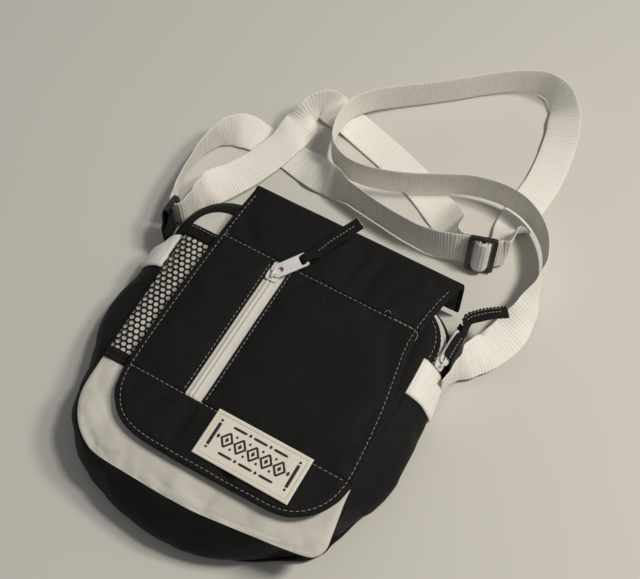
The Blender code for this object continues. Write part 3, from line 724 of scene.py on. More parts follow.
def drape(part, held, pressure, grow, cap, bend, frames=20):
    """Cloth run on a sheet held at some vertices; no vertex moves further than cap."""
    rest = coords(part.data)
    group = part.vertex_groups.new(name="held")
    group.add([int(i) for i in held], 1.0, "REPLACE")
    cloth = part.modifiers.new("cloth", "CLOTH")
    setup = cloth.settings
    setup.quality = 6
    setup.mass = 0.12
    setup.tension_stiffness = setup.compression_stiffness = 15.0
    setup.shear_stiffness = 6.0
    setup.bending_stiffness = bend
    setup.tension_damping = setup.compression_damping = 8.0
    setup.bending_damping = 0.6
    setup.vertex_group_mass = "held"
    setup.pin_stiffness = 1.0
    setup.shrink_min = -grow
    setup.use_pressure = True
    setup.uniform_pressure_force = pressure
    setup.effector_weights.gravity = 0.0
    cloth.collision_settings.use_collision = False
    cloth.collision_settings.use_self_collision = False
    cloth.point_cache.frame_start = 1
    cloth.point_cache.frame_end = frames
    scene = bpy.context.scene
    for frame in range(1, frames + 1):
        scene.frame_set(frame)
    graph = bpy.context.evaluated_depsgraph_get()
    move = coords(part.evaluated_get(graph).data) - rest
    part.modifiers.clear()
    part.vertex_groups.clear()
    scene.frame_set(1)
    size = np.linalg.norm(move, axis=1)
    if not np.isfinite(size).all():
        return
    top = cap * MM
    share = np.where(size > 1e-9, top * np.tanh(size / top) / np.maximum(size, 1e-9), 1.0)
    set_coords(part, rest + move * share[:, None])


def crease(verts, marks):
    """Sum of soft valleys along short lines."""
    out = np.zeros(len(verts))
    for x0, y0, x1, y1, depth, width in marks:
        start = np.array([x0, y0])
        edge = np.array([x1, y1]) - start
        share = np.clip(((verts[:, :2] - start) @ edge) / (edge @ edge), 0, 1)
        gap = np.linalg.norm(verts[:, :2] - (start + share[:, None] * edge), axis=1)
        fade = np.sin(np.pi * np.clip(0.15 + 0.7 * share, 0, 1))
        out += depth * np.exp(-((gap / width) ** 2)) * fade
    return out


def path_frames(stations, step):
    """Even samples along stations of x, y, z, a direction across, and a width.

    Returns arrays of centre, along, across, face normal, half width and run.
    """
    spans = len(stations) - 1
    per_span = 16
    centres, acrosses, halves = [], [], []
    line = [station[:3] for station in stations]
    for i in range(spans * per_span + 1):
        k = i / (spans * per_span)
        x = k * spans
        j = min(int(x), spans - 1)
        u = x - j
        this, other = stations[j], stations[j + 1]
        centres.append(catmull(line, k))
        start, end = Vector(this[3:6]).normalized(), Vector(other[3:6]).normalized()
        acrosses.append(start.lerp(end, u * u * (3 - 2 * u)))
        halves.append((this[6] * (1 - u) + other[6] * u) / 2)
    centres, acrosses, halves = np.array(centres), np.array(acrosses), np.array(halves)
    steps = np.linalg.norm(np.diff(centres, axis=0), axis=1)
    raw = np.concatenate([[0], np.cumsum(steps)])
    last = int(raw[-1] / step)
    run = np.linspace(0, raw[-1], last + 1)
    centre = np.stack([np.interp(run, raw, centres[:, k]) for k in range(3)], 1)
    across = np.stack([np.interp(run, raw, acrosses[:, k]) for k in range(3)], 1)
    half = np.interp(run, raw, halves)
    reach = max(1, int(round(1.2 / step)))  # samples each way used to find the direction
    index = np.arange(last + 1)
    along = centre[np.minimum(index + reach, last)] - centre[np.maximum(index - reach, 0)]
    along /= np.linalg.norm(along, axis=1)[:, None]
    across -= along * (across * along).sum(1)[:, None]
    across /= np.linalg.norm(across, axis=1)[:, None]
    return centre, along, across, np.cross(along, across), half, run


# columns across a band, as shares of its half width
ACROSS = [-1.0, -0.985, -0.94, -0.84, -0.56, -0.28, 0.0, 0.28, 0.56, 0.84, 0.94, 0.985, 1.0]
NOTCH_PITCH = 2.3
FRAY_LEN = 3.0


def band(name, stations, thick, mat, rib, step=0.5, pitch=1.5, notch=0.0, fray=0.0, seed=0.0):
    """Woven band: cross ribs, rounded edges, one edge notched and the last end frayed if asked."""
    centre, along, across, face, half, run = path_frames(stations, step)
    rings, uvs = [], []
    for i in range(len(run)):
        wave = rib * math.cos(2 * math.pi * run[i] / pitch)
        tooth = notch * abs(2 * ((run[i] / NOTCH_PITCH) % 1.0) - 1.0)
        to_end = run[-1] - run[i]
        top, low = [], []
        for share in ACROSS:
            k = (1 - abs(share) ** 6) ** 0.5
            height = thick / 2 * (0.25 + 0.75 * k) + wave * (0.4 + 0.6 * k)
            side = share * half[i]
            if abs(share) > 0.9:
                side += math.copysign(1, share) * wave * 1.1
            if share < -0.8:
                side += tooth
            drop = 0.0
            if fray and to_end < FRAY_LEN:
                drop = fray * (ripple(share * 7.0, seed, 3.1) + 0.2) * (1 - to_end / FRAY_LEN)
            base = centre[i] + across[i] * side + along[i] * drop
            top.append(base + face[i] * height)
            low.append(base - face[i] * height)
        rings.append(top + low[::-1])
        columns = [share * half[i] for share in ACROSS]
        # the back face lies beside the front one in the UV map
        uvs += [(x, run[i]) for x in columns] + [(x + 60, run[i]) for x in columns[::-1]]
    return tube(name, rings, mat, uvs)


def capsule(path, radius, sides):
    """Rings round a short polyline, tapered at both ends."""
    rings = []
    last = len(path) - 1
    for i, point in enumerate(path):
        along = (path[min(last, i + 1)] - path[max(0, i - 1)]).normalized()
        side = UP.cross(along) if abs(along.z) < 0.95 else along.orthogonal()
        side.normalize()
        other = along.cross(side)
        reach = radius * (0.35 if i in (0, last) else 1.0)
        rings.append(
            [point + (side * math.cos(a) + other * math.sin(a)) * reach for a in angles(sides)]
        )
    return rings


class Threads:
    """Many short thread pieces gathered into one mesh."""

    def __init__(self):
        self.verts, self.faces = [], []

    def add(self, path, radius, sides=6):
        base = len(self.verts)
        rings = capsule(path, radius, sides)
        for ring in rings:
            self.verts += [tuple(point) for point in ring]
        self.faces += shifted(grid_faces(len(rings), sides, wrap=True), base)
        self.faces.append(tuple(base + j for j in reversed(range(sides))))
        last = base + (len(rings) - 1) * sides
        self.faces.append(tuple(last + j for j in range(sides)))

    def row(self, points, normals, pitch, length, radius, lift, seed, jitter=0.12, start=0.0):
        """Running stitch along points, on a surface with these normals."""
        run = run_lengths(points)

        def at(distance):
            distance = min(max(distance, 0.0), run[-1])
            j = min(bisect_right(run, distance) - 1, len(run) - 2)
            share = (distance - run[j]) / max(1e-9, run[j + 1] - run[j])
            normal = normals[j].lerp(normals[j + 1], share).normalized()
            return points[j].lerp(points[j + 1], share), normal

        # share of the stitch's length, height over the cloth
        bends = (
            (0.0, -0.35),
            (0.12, lift * 0.6),
            (0.5, lift + radius * 0.55),
            (0.88, lift * 0.6),
            (1.0, -0.35),
        )
        begin, k = start, 0
        while begin + length < run[-1]:
            wobble = ripple(k * 1.7, seed, 0.3) * jitter
            path = []
            for share, height in bends:
                distance = begin + length * share
                point, normal = at(distance)
                side = normal.cross(at(distance + 0.5)[0] - at(distance - 0.5)[0])
                if side.length > 1e-6:
                    point = point + side.normalized() * wobble * (2 * share - 1) * 2.0
                path.append(point + normal * height)
            self.add(path, radius)
            begin += pitch * (1 + 0.06 * ripple(k * 0.9, seed, 7.7))
            k += 1

    def build(self, name, mat, slot, body="bag"):
        register(make(name, self.verts, self.faces, mat), slot, body=body)


def plate(name, outer, low, high, mat, place, holes=(), soft=0.3):
    """Flat plate with holes, its edges rounded by soft, placed by a matrix."""
    edit = bmesh.new()
    edges = []
    for loop in [outer, *(hole[::-1] for hole in holes)]:
        verts = [edit.verts.new((x, y, low)) for x, y in loop]
        count = len(verts)
        edges += [edit.edges.new((verts[i], verts[(i + 1) % count])) for i in range(count)]
    bmesh.ops.triangle_fill(edit, use_beauty=True, use_dissolve=False, edges=edges)
    grown = bmesh.ops.extrude_face_region(edit, geom=list(edit.faces))
    for vert in [item for item in grown["geom"] if isinstance(item, bmesh.types.BMVert)]:
        vert.co.z = high
    bmesh.ops.recalc_face_normals(edit, faces=edit.faces)
    bmesh.ops.dissolve_limit(
        edit, angle_limit=math.radians(1), verts=edit.verts, edges=edit.edges
    )
    mesh = bpy.data.meshes.new(name)
    edit.to_mesh(mesh)
    edit.free()
    mesh.materials.append(mat)
    part = add_object(name, mesh)
    bevel = part.modifiers.new("bevel", "BEVEL")
    bevel.width = soft * MM
    bevel.segments = 3
    bevel.limit_method = "ANGLE"
    bevel.angle_limit = math.radians(35)
    part.data.shade_smooth()
    bake(part)
    part.data.transform(place)
    part.data.transform(Matrix.Scale(MM, 4))
    part.data.shade_smooth()
    part.data.set_sharp_from_angle(angle=math.radians(50))
    return part


def rounded(left, low, right, high, radius, steps=5):
    """Rectangle with rounded corners."""
    corners = (
        (right - radius, high - radius, 0),
        (left + radius, high - radius, 90),
        (left + radius, low + radius, 180),
        (right - radius, low + radius, 270),
    )
    out = []
    for x, y, start in corners:
        for k in range(steps + 1):
            angle = math.radians(start + 90 * k / steps)
            out.append((x + radius * math.cos(angle), y + radius * math.sin(angle)))
    return out


def mirrored(half):
    """Outline from its left half."""
    return half + [(-x, y) for x, y in reversed(half)]


# ---------------------------------------------------------------- front panel

FRONT_COLS = 66
# puckers along the seams and handling creases: start x, y, end x, y, depth, width
FRONT_CREASES = [
    (-62, -96, -58, -84, -0.9, 2.6), (-38, -97, -36, -86, -0.6, 2.4),
    (-12, -97, -8, -84, -1.2, 2.2), (-4, -97, 0, -87, 0.7, 2.4),
    (16, -97, 22, -82, -1.0, 2.6), (30, -97, 33, -86, 0.6, 2.8),
    (48, -97, 44, -84, -1.0, 2.6), (70, -95, 60, -84, -0.8, 3.2),
    (-84, -60, -74, -62, -0.6, 2.6), (-83, -76, -70, -72, 0.6, 3.0),
    (88, -58, 80, -62, -0.7, 3.0), (-74, -86, -48, -82, -0.5, 3.4),
    (2, -90, 40, -86, -0.5, 3.6), (-30, -84, 0, -90, 0.5, 3.0),
    (-20, -90, -2, -95, -0.9, 1.6), (8, -88, 24, -94, -1.0, 1.8),
    (22, -94, 30, -85, 0.7, 1.8), (-66, -88, -56, -94, -0.9, 1.6),
    (60, -93, 74, -89, -0.9, 1.8), (36, -95, 40, -90, -0.9, 1.3),
    (-48, -95, -44, -90, -0.9, 1.3), (-26, -96, -24, -91, -0.8, 1.2),
]


def build_front():
    low_y = min(point.y for point in RING)
    heights = levels(
        (low_y + 0.03, low_y + 1.2, 3, 0),
        (low_y + 1.2, low_y + 8.0, 6, 0),
        (low_y + 8.0, PANEL_LOW + LOW_R_LEFT, 15, 0),
        (PANEL_LOW + LOW_R_LEFT, PANEL_TOP - ZIP_R, 42, 0),
        (PANEL_TOP - ZIP_R, PANEL_TOP - 0.02, 13, 1),
    )
    rows = []
    for y in heights:
        left, right = x_limits(RING_POLY, y)
        width = right - left
        rows.append([(left + width * k / (FRONT_COLS - 1), y, 0.0) for k in range(FRONT_COLS)])
    flat = np.array(rows).reshape(-1, 3)
    rim = distance_to(RING_POLY, flat[:, :2])
    base = 36.9 + 1.9 * (1 - np.exp(-rim / 6.5))
    sag = np.exp(-(((flat[:, 1] + 72) / 20) ** 2)) * (1 - np.exp(-rim / 9.0))
    flat[:, 2] = base + 1.3 * sag
    part = sheet("front_panel_cloth", flat.reshape(len(rows), FRONT_COLS, 3), CANVAS)
    verts = coords(part.data) / MM
    verts[:, 2] += crease(verts, FRONT_CREASES) * np.clip(rim / 4, 0, 1)
    waves = np.array([ripple(x * 0.055, y * 0.055, z * 0.055 + 3.0) for x, y, z in verts])
    verts[:, 2] += 0.3 * waves * np.clip(rim / 8, 0, 1)
    set_coords(part, verts * MM)
    held = [i for i in range(len(flat)) if rim[i] < 0.4]
    drape(part, held, pressure=1.2, grow=0.012, cap=2.6, bend=0.05)
    verts = coords(part.data) / MM
    verts[:, :2] = flat[:, :2]
    # kept below the pocket; the cloth may rise further under the pocket's lower edge
    limit = 39.15 + 2.9 * np.clip((-42 - verts[:, 1]) / 16, 0, 1)
    over = np.maximum(verts[:, 2] - base, 0)
    room = np.maximum(limit - base, 0.02)
    verts[:, 2] = np.where(verts[:, 2] > base, base + room * np.tanh(over / room), verts[:, 2])
    set_coords(part, verts * MM)
    finish(part, 1.0, "white_cloth", "front_panel")


# ---------------------------------------------------------------- side walls and main zip


def wall_sheet(name, path, start, end, lift, steps, mat, wobble=0.0, seed=0.0):
    """Strip of side wall between two shares of PROFILE; lift is a number or a function of it."""
    rows, uvs = [], []
    along = 0.0
    for i, (point, out) in enumerate(path):
        if i:
            along += (point - path[i - 1][0]).length
        row = []
        for k in range(steps + 1):
            down = start + (end - start) * k / steps
            spot = wall(point, out, down, lift(down) if callable(lift) else lift)
            if wobble:
                wave = ripple(spot.x * 0.06, spot.y * 0.06, spot.z * 0.05 + seed)
                spot = spot + Vector((out.x, out.y, 0.3)) * wobble * wave
            row.append(spot)
        rows.append(row)
        uvs.append([(along, run) for run in run_lengths(row)])
    part = sheet(name, rows, mat, uvs)
    outward(part)
    return part


def drape_wall(part, held, piece, **force):
    drape(part, held, **force)
    verts = coords(part.data) / MM
    verts[:, 2] = np.maximum(verts[:, 2], 1.4)
    set_coords(part, verts * MM)
    finish(part, 1.2, "black_cloth", piece)


def build_lower_wall():
    outline = fillet([(left_at(SPLIT_Y), SPLIT_Y, 0), *LOWER, (right_at(SPLIT_Y), SPLIT_Y, 0)])
    path = with_normals(even(outline, 3.0), 1)
    steps = 15
    part = wall_sheet(
        "side_wall_lower", path, 0.0, 1.0, -0.15, steps, CLOTH, wobble=0.35, seed=2.0
    )
    verts = coords(part.data) / MM
    held = []
    for i, (point, out) in enumerate(path):
        # short diagonal folds where the wall turns the two lower corners
        corner = math.exp(-(((abs(point.x) - 76) / 26) ** 2 + ((point.y + 84) / 26) ** 2))
        for j in range(steps + 1):
            index = i * (steps + 1) + j
            if j in (0, steps) or point.y > 27 or i in (0, len(path) - 1):
                held.append(index)
            if point.y > 24:
                continue
            down = j / steps
            fade = math.sin(math.pi * down)
            fold = math.sin(i * 0.62 + down * 5.0) * corner * fade * 0.55
            fold += math.sin(i * 0.23 - down * 3.2) * fade * 0.2
            verts[index] += np.array([out.x, out.y, 0.25]) * fold
    set_coords(part, verts * MM)
    drape_wall(part, held, "gusset_lower", pressure=0.9, grow=0.014, cap=1.0, bend=0.08)


def build_upper_walls():
    split = SPLIT_Y + GAP
    left_end, right_end = (left_at(split), split, 0), (right_at(split), split, 0)
    path = fillet([left_end, LEFT_CORNER, RIGHT_CORNER, right_end])
    path = with_normals(even(path, 3.0), -1)
    steps = 9
    part = wall_sheet(
        "side_wall_upper_back", path, 0.445, 1.0, -0.1, steps, CLOTH, wobble=0.45, seed=5.0
    )
    held = [
        i * (steps + 1) + j
        for i, (point, _) in enumerate(path)
        for j in range(steps + 1)
        if j in (0, 1, steps) or point.y < 62 or i in (0, len(path) - 1)
    ]
    drape_wall(part, held, "gusset_upper_back", pressure=0.4, grow=0.012, cap=0.9, bend=0.1)

    path = fillet([left_end, LEFT_CORNER, (ZIP_START_X, PANEL_TOP, 0)])
    path = with_normals(even(path, 3.0), -1)
    part = wall_sheet(
        "side_wall_upper_left", path, 0.0, 0.45, -0.05, 8, CLOTH, wobble=0.25, seed=8.0
    )
    finish(part, 1.2, "black_cloth", "gusset_upper_left")


def build_main_zip_way():
    """Welt, tapes, facing and coils of the zip round the upper right edge."""
    split = SPLIT_Y + GAP
    way = [(ZIP_START_X + GAP, PANEL_TOP, 0), RIGHT_CORNER, (right_at(split), split, 0)]
    way = with_normals(even(fillet(way), 2.0), -1)

    def welt_lift(down):
        return 0.05 - 0.35 * smoothstep(0.15, 0.205, down)

    part = wall_sheet("zip_welt_strip", way, 0.0, 0.205, welt_lift, 8, CLOTH)
    finish(part, 0.7, "black_cloth", "zip_welt")

    for end, start, stop in (("front", 0.12, 0.24), ("back", 0.323, 0.45)):
        part = wall_sheet("main_tape_" + end, way, start, stop, -0.75, 6, TAPE)
        finish(part, 0.6, "zip_tape", "main_zip_tape_" + end)

    threads = Threads()
    for down, seed in ((0.075, 3.0), (0.175, 8.0)):
        threads.row(
            [wall(point, out, down, 0.05) for point, out in way],
            [wall_normal(point, out, down) for point, out in way],
            pitch=3.6, length=2.4, radius=0.18, lift=0.06, seed=seed,
        )
    threads.build("zip_welt_stitches", THREAD, "white_cloth")

    # flap of cloth over the lower tape
    def facing_lift(down):
        return -0.25 + 0.2 * smoothstep(0.39, 0.44, down)

    part = wall_sheet("zip_lower_facing", way, 0.372, 0.47, facing_lift, 5, CLOTH)
    finish(part, 0.6, "black_cloth")

    step = 0.3
    fine = with_normals(even([point for point, _ in way], step), -1)
    for end, middle, lean in (("front", COIL_FRONT, 1), ("back", COIL_BACK, -1)):
        rings, uvs = [], []
        for i, (point, out) in enumerate(fine):
            wave = 0.5 + 0.5 * math.cos(2 * math.pi * i / 4)
            ring = []
            for k, angle in enumerate(angles(8)):
                down = middle + lean * 0.004 * wave + math.cos(angle) * (0.0105 + 0.006 * wave)
                lift = -0.85 + math.sin(angle) * (0.62 + 0.28 * wave)
                ring.append(wall(point, out, down, lift))
                uvs.append((i * step, k))
            rings.append(ring)
        part = tube("main_teeth_" + end, rings, COIL, uvs)
        register(part, "zip_coil", "main_zip_coil_" + end)


BACK_REACH = 12.9
# rings of the back cushion: reach beyond the outline, z, share of full size
BACK_RINGS = [
    (BACK_REACH, 4.6, 1), (12.6, 3.4, 1), (11.2, 1.8, 1), (8.8, 0.7, 1), (5.0, 0.15, 1),
    (0.0, 0.02, 1), (0, 0.0, 0.9), (0, 0.0, 0.7), (0, 0.0, 0.45), (0, 0.0, 0.2),
]


def build_back():
    """A shallow cushion that rests on the floor, and the round piping on its seam."""
    outline = [Vector(point) for point in RING_POLY]
    path = with_normals(even(outline, 4.0)[:-1], 1, closed=True)
    verts = []
    for reach, z, shrink in BACK_RINGS:
        for point, out in path:
            scale = bulge(point, out) / BULGE_LOW
            run = BACK_REACH * scale - (BACK_REACH - reach) * max(scale, 0.35)
            spot = point + aim(point, out) * run
            spot = Vector((spot.x * shrink, (spot.y - MID_Y) * shrink + MID_Y))
            wave = 0.35 * abs(ripple(spot.x * 0.05, spot.y * 0.05, 1.7)) if shrink < 1 else 0.0
            verts.append((spot.x, spot.y, z + wave))
    count = len(path)
    faces = grid_faces(len(BACK_RINGS), count, wrap=True)
    faces.append(tuple(range((len(BACK_RINGS) - 1) * count, len(verts))))
    part = make("back_panel_cloth", verts, faces, CLOTH, [vert[:2] for vert in verts])
    with editing(part) as edit:
        face_z(edit, -1)
    thicken(part, 1.0)
    register(part, "black_cloth", "back_panel")

    step, sides, radius = 3.0, 8, 1.25
    rings = []
    for point, out in with_normals(even(outline, step)[:-1], 1, closed=True):
        reach = BACK_REACH * (bulge(point, out) / BULGE_LOW) + 0.3
        out = aim(point, out)
        centre = Vector((point.x + out.x * reach, point.y + out.y * reach, 4.4))
        rings.append(
            [
                centre + Vector((out.x * math.cos(a), out.y * math.cos(a), math.sin(a))) * radius
                for a in angles(sides)
            ]
        )
    uvs = [(i * step, j) for i in range(len(rings)) for j in range(sides)]
    register(tube("back_seam_piping", rings, TRIM, uvs, loop=True), "black_cloth")


def build_side_bands():
    rows_across, steps = 16, 90
    height = BAND_TOP_Y - BAND_LOW_Y
    heights = [BAND_TOP_Y - height * k / rows_across for k in range(rows_across + 1)]
    for edge_at, side, label, seed in ((left_at, 1, "left", 4.0), (right_at, -1, "right", 9.0)):
        rows, uvs = [], []
        path = with_normals([Vector((edge_at(y), y)) for y in heights], side)
        for i, (point, out) in enumerate(path):
            from_edge = min(i, rows_across - i)
            row = []
            for k in range(steps + 1):
                down = 0.01 + 0.90 * k / steps
                lift = 1.55 + 0.17 * math.cos(2 * math.pi * k / 4)
                lift -= {0: 0.55, 1: 0.12}.get(from_edge, 0.0)
                lift += 0.35 * ripple(point.y * 0.08, down * 3.0, seed)
                lift -= 0.8 * (1 - smoothstep(0.0, 0.05, down - 0.01))
                sway = 0.5 * ripple(0, down * 4, 6.0 + i * 0.02 + side)
                row.append(wall(point, out, down, lift) + Vector((0, sway, 0)))
            rows.append(row)
            uvs.append([(point.y, run) for run in run_lengths(row)])
        part = sheet("side_band_" + label, rows, WEBBING, uvs)
        outward(part)
        thicken(part, 1.1)
        register(part, "white_webbing", "webbing_band_" + label)


# ---------------------------------------------------------------- mesh pocket

MESH_Z = 39.75
CELL = 4.3  # pitch of the net's holes
# rings of a cell from its border to its hole: radius at a corner, at a side, height
CELL_RINGS = [
    (CELL / math.sqrt(3), CELL / 2, 0.32),
    (CELL / math.sqrt(3) - 0.42, CELL / 2 - 0.30, 0.22),
    (1.72, 1.62, -0.10),
]


def pocket_height(x, y):
    edge = min(abs(x - left_at(y)), abs(x - right_at(y)))
    return MESH_Z + 0.18 * ripple(x * 0.05, y * 0.05, 2.0) - 1.6 * math.exp(-edge / 3.2)


def build_net():
    row_step = CELL * math.sqrt(3) / 2
    cell_faces = grid_faces(len(CELL_RINGS), 12, wrap=True)
    verts, faces, uvs = [], [], []
    for j in range(int(96 / row_step) + 1):
        mid_y = -36.0 + j * row_step
        for i in range(int(-104 / CELL), int(104 / CELL) + 1):
            mid_x = i * CELL + (CELL / 2 if j % 2 else 0.0)
            if mid_x < left_at(mid_y) - 1.5 or mid_x > right_at(mid_y) + 1.5:
                continue
            faces += shifted(cell_faces, len(verts))
            for corner_r, side_r, height in CELL_RINGS:
                for k in range(12):
                    radius = corner_r if k % 2 else side_r
                    x = mid_x + radius * math.cos(math.radians(30 * k))
                    y = mid_y + radius * math.sin(math.radians(30 * k))
                    inside = min(max(x, left_at(y) + 0.2), right_at(y) - 0.2)
                    verts.append((inside, y, pocket_height(inside, y) + height))
                    uvs.append((x, y))
    part = make("pocket_mesh_net", verts, faces, MESH, uvs)
    with editing(part) as edit:
        bmesh.ops.remove_doubles(edit, verts=edit.verts, dist=0.00006)
        bmesh.ops.dissolve_degenerate(edit, edges=edit.edges, dist=0.00002)
        for face in edit.faces:
            face.normal_update()
            if face.normal.z < 0:
                face.normal_flip()
    thicken(part, 0.45)
    register(part, "black_mesh", "pocket_mesh")


def build_pocket_bands():
    """Bands across the pocket's top and bottom edges."""
    cols = 96
    for label, low, high, height in (
        ("hem", 59.2, 68.2, 1.25),
        ("binding", -41.2, -33.2, 1.15),
    ):
        width = high - low
        # distance from the lower edge, share of full height
        section = [
            (-0.35, 0.0), (0.0, 0.55), (0.25, 0.85), (1.2, 1.0), (2.1, 0.72), (3.0, 1.0),
            (4.4, 1.0), (5.6, 1.0), (width - 1.2, 0.98), (width - 0.25, 0.8), (width, 0.5),
            (width + 0.35, 0.0),
        ]
        rows, uvs = [], []
        for up, share in section:
            y = low + up
            left, right = left_at(y), right_at(y)
            xs = [left + 0.3 + (right - left - 0.6) * k / (cols - 1) for k in range(cols)]
            row = []
            for x in xs:
                bent = y + 0.25 * ripple(x * 0.07, low, 0.5)
                z = pocket_height(x, y) + share * height + 0.12 * ripple(x * 0.2, bent * 0.2, 1.0)
                row.append((x, bent, z))
            rows.append(row)
            uvs.append([(x, y) for x in xs])
        part = sheet(f"pocket_{label}_band", rows, TRIM, uvs)
        outward(part)
        finish(part, 0.7, "black_cloth", "pocket_" + label)


def build_edge_binding():
    """Strip up the right edge, over the end of the pocket and round the top corner."""
    # share of the width, height
    section = [
        (0.0, -0.9), (0.03, 0.35), (0.12, 0.75), (0.35, 0.8), (0.6, 0.8), (0.8, 0.55),
        (0.93, 0.0), (1.0, -0.7), (1.03, -1.9),
    ]
    rows = []
    for y in [-41.0 + 127.5 * k / 90 for k in range(91)]:
        outer = x_limits(RING_POLY, y)[1] + 0.1
        inner = min(right_at(y) - 11.6, outer - 5.0) - 4.0 * smoothstep(52.0, 66.0, y)
        row = []
        for share, height in section:
            x = inner + (outer - inner) * share
            row.append((x, y, 40.2 + height + 0.18 * ripple(x * 0.1, y * 0.07, 12.0)))
        rows.append(row)
    part = sheet("right_edge_binding", rows, TRIM)
    outward(part)
    finish(part, 0.6, "black_cloth")


def build_pocket_stitches():
    def level_line(y, right_gap, lift):
        xs = np.linspace(left_at(y) + 2, right_at(y) - right_gap, 80)
        return [Vector((x, y, pocket_height(x, y) + lift)) for x in xs], [UP] * 80

    threads = Threads()
    line = level_line(66.2, 13, 1.2)
    threads.row(*line, pitch=3.0, length=2.0, radius=0.17, lift=0.1, seed=2.0)
    threads.build("pocket_hem_stitches", THREAD, "white_cloth")
    threads = Threads()
    for y in (-39.3, -35.2):
        line = level_line(y, 2, 1.15)
        threads.row(*line, pitch=3.0, length=2.1, radius=0.22, lift=0.08, seed=y)
    threads.build("pocket_binding_stitches", INK, "black_cloth")


# ---------------------------------------------------------------- flap

# outline from the top left, round the bottom, to the top right: x, y
FLAP = [
    (-68.5, 108.0), (-70.0, 92.0), (-71.2, 60.0), (-72.0, 15.0), (-71.6, -30.0),
    (-70.0, -48.0), (-65.5, -61.0), (-57.0, -71.5), (-46.0, -77.0), (-33.0, -79.3),
    (-15.0, -79.9), (10.0, -79.8), (35.0, -79.6), (55.0, -79.0), (67.0, -76.2),
    (77.0, -70.0), (85.0, -60.0), (89.3, -48.0), (90.3, -35.0), (88.8, -10.0),
    (86.0, 15.0), (82.0, 38.0), (79.6, 54.0), (79.4, 66.0), (81.0, 82.0),
    (83.6, 96.0), (87.0, 108.0),
]
FLAP_Z = 47.75
FLAP_TOP_Y = FLAP[0][1]
# the cover and its lining going over the carrying edge and down the back: y, z
FOLD_OUT = [
    (109.6, 47.55), (111.2, 46.9), (112.7, 45.7), (113.9, 43.8), (114.5, 41.2), (114.8, 37.5),
    (114.9, 32.0), (114.9, 26.0), (114.8, 19.0), (114.7, 12.0), (114.5, 5.0),
]
FOLD_IN = [
    (109.2, 42.8), (111.0, 42.0), (112.2, 40.2), (112.7, 37.0), (112.8, 30.0), (112.8, 22.0),
    (112.8, 14.0), (112.7, 6.0),
]
LINING_TOP_Y = 106.0
# how an open edge turns under, step by step: outwards, down
WINDOW_TURN = [(0.28, 0.28), (0.34, 0.8), (0.05, 1.15), (-2.0, 1.25)]
RIM_TURN = [(0.65, 0.45), (1.05, 1.35), (1.1, 2.6), (0.75, 3.9), (-0.4, 4.7), (-4.6, 4.85)]
BACK_TURN = [(0.35, 0.3), (0.3, 1.0), (-1.5, 1.3)]


def smooth_poly(points, per_span=8):
    line = [(x, y, 0) for x, y in points]
    count = (len(points) - 1) * per_span
    return [tuple(catmull(line, i / count))[:2] for i in range(count + 1)]


def inset(poly, depth):
    """Open polyline moved inwards; its inside lies to its left."""
    points = [Vector(point) for point in poly]
    out = []
    for i, point in enumerate(points):
        along = (points[min(i + 1, len(points) - 1)] - points[max(i - 1, 0)]).normalized()
        out.append(tuple(point + Vector((-along.y, along.x)) * depth))
    return out


EDGE = smooth_poly(FLAP)
EDGE_IN = inset(EDGE, 1.1)


def flap_limits(poly, y):
    low = min(point[1] for point in poly) + 0.01
    return x_limits(poly, min(max(y, low), min(poly[0][1], poly[-1][1]) - 0.01))


def flap_top(x, y, rim):
    """Resting height of the flap's face, with its seams and its stitched grooves."""
    z = FLAP_Z
    for seam in (SEAM_UP, SEAM_LOW):
        z -= 0.95 * math.exp(-(((y - seam) / 0.9) ** 2))
        z += 0.35 * math.exp(-(((y - seam - 2.0) / 1.8) ** 2))
    z -= 0.55 * math.exp(-(((rim - 3.3) / 0.8) ** 2))
    if SEAM_LOW - 1 < y < SEAM_UP + 1:
        for groove in (WINDOW_LEFT - 1.5, WINDOW_RIGHT + 1.5):
            z -= 0.42 * math.exp(-(((x - groove) / 0.7) ** 2))
    z -= 1.0 * math.exp(-rim / 1.1)
    z += 0.55 * ripple(x * 0.021, y * 0.021, 11.0)
    z += 0.22 * ripple(x * 0.07, y * 0.05, 4.0)
    return z


FLAP_ROWS = levels(
    (min(point[1] for point in EDGE_IN) + 0.02, -56.0, 13, -1),
    (-56.0, SEAM_LOW - 1.4, 6, 0),
    (SEAM_LOW - 1.4, SEAM_LOW, 2, 0),
    (SEAM_LOW, SEAM_LOW + 1.4, 2, 0),
    (SEAM_LOW + 1.4, SEAM_UP - 1.4, 40, 0),
    (SEAM_UP - 1.4, SEAM_UP, 2, 0),
    (SEAM_UP, SEAM_UP + 1.4, 2, 0),
    (SEAM_UP + 1.4, FLAP_TOP_Y, 15, 0),
)
RIM_COLS = (0.0, 0.9, 1.7, 2.5, 3.3, 4.2)  # column distances from the flap's edge
WINDOW_COLS = (0.0, 0.8, 1.5, 2.2)  # and from the window


def flap_columns(y):
    """Column positions across a row; the sides of the zip window keep their own columns."""
    left, right = flap_limits(EDGE_IN, max(y, SEAM_LOW))
    width = WINDOW_RIGHT - WINDOW_LEFT
    xs = [left + gap for gap in RIM_COLS]
    xs += [left + 7.4 + (WINDOW_LEFT - 3.0 - left - 7.4) * k / 12 for k in range(13)]
    xs += [WINDOW_LEFT - gap for gap in reversed(WINDOW_COLS)]
    xs += [WINDOW_LEFT + width * k / 5 for k in range(1, 5)]
    xs += [WINDOW_RIGHT + gap for gap in WINDOW_COLS]
    xs += [WINDOW_RIGHT + 3.0 + (right - 7.4 - WINDOW_RIGHT - 3.0) * k / 32 for k in range(33)]
    xs += [right - gap for gap in reversed(RIM_COLS)]
    if y < SEAM_LOW:
        low_left, low_right = flap_limits(EDGE_IN, y)
        xs = [low_left + (low_right - low_left) * (x - left) / (right - left) for x in xs]
    return xs


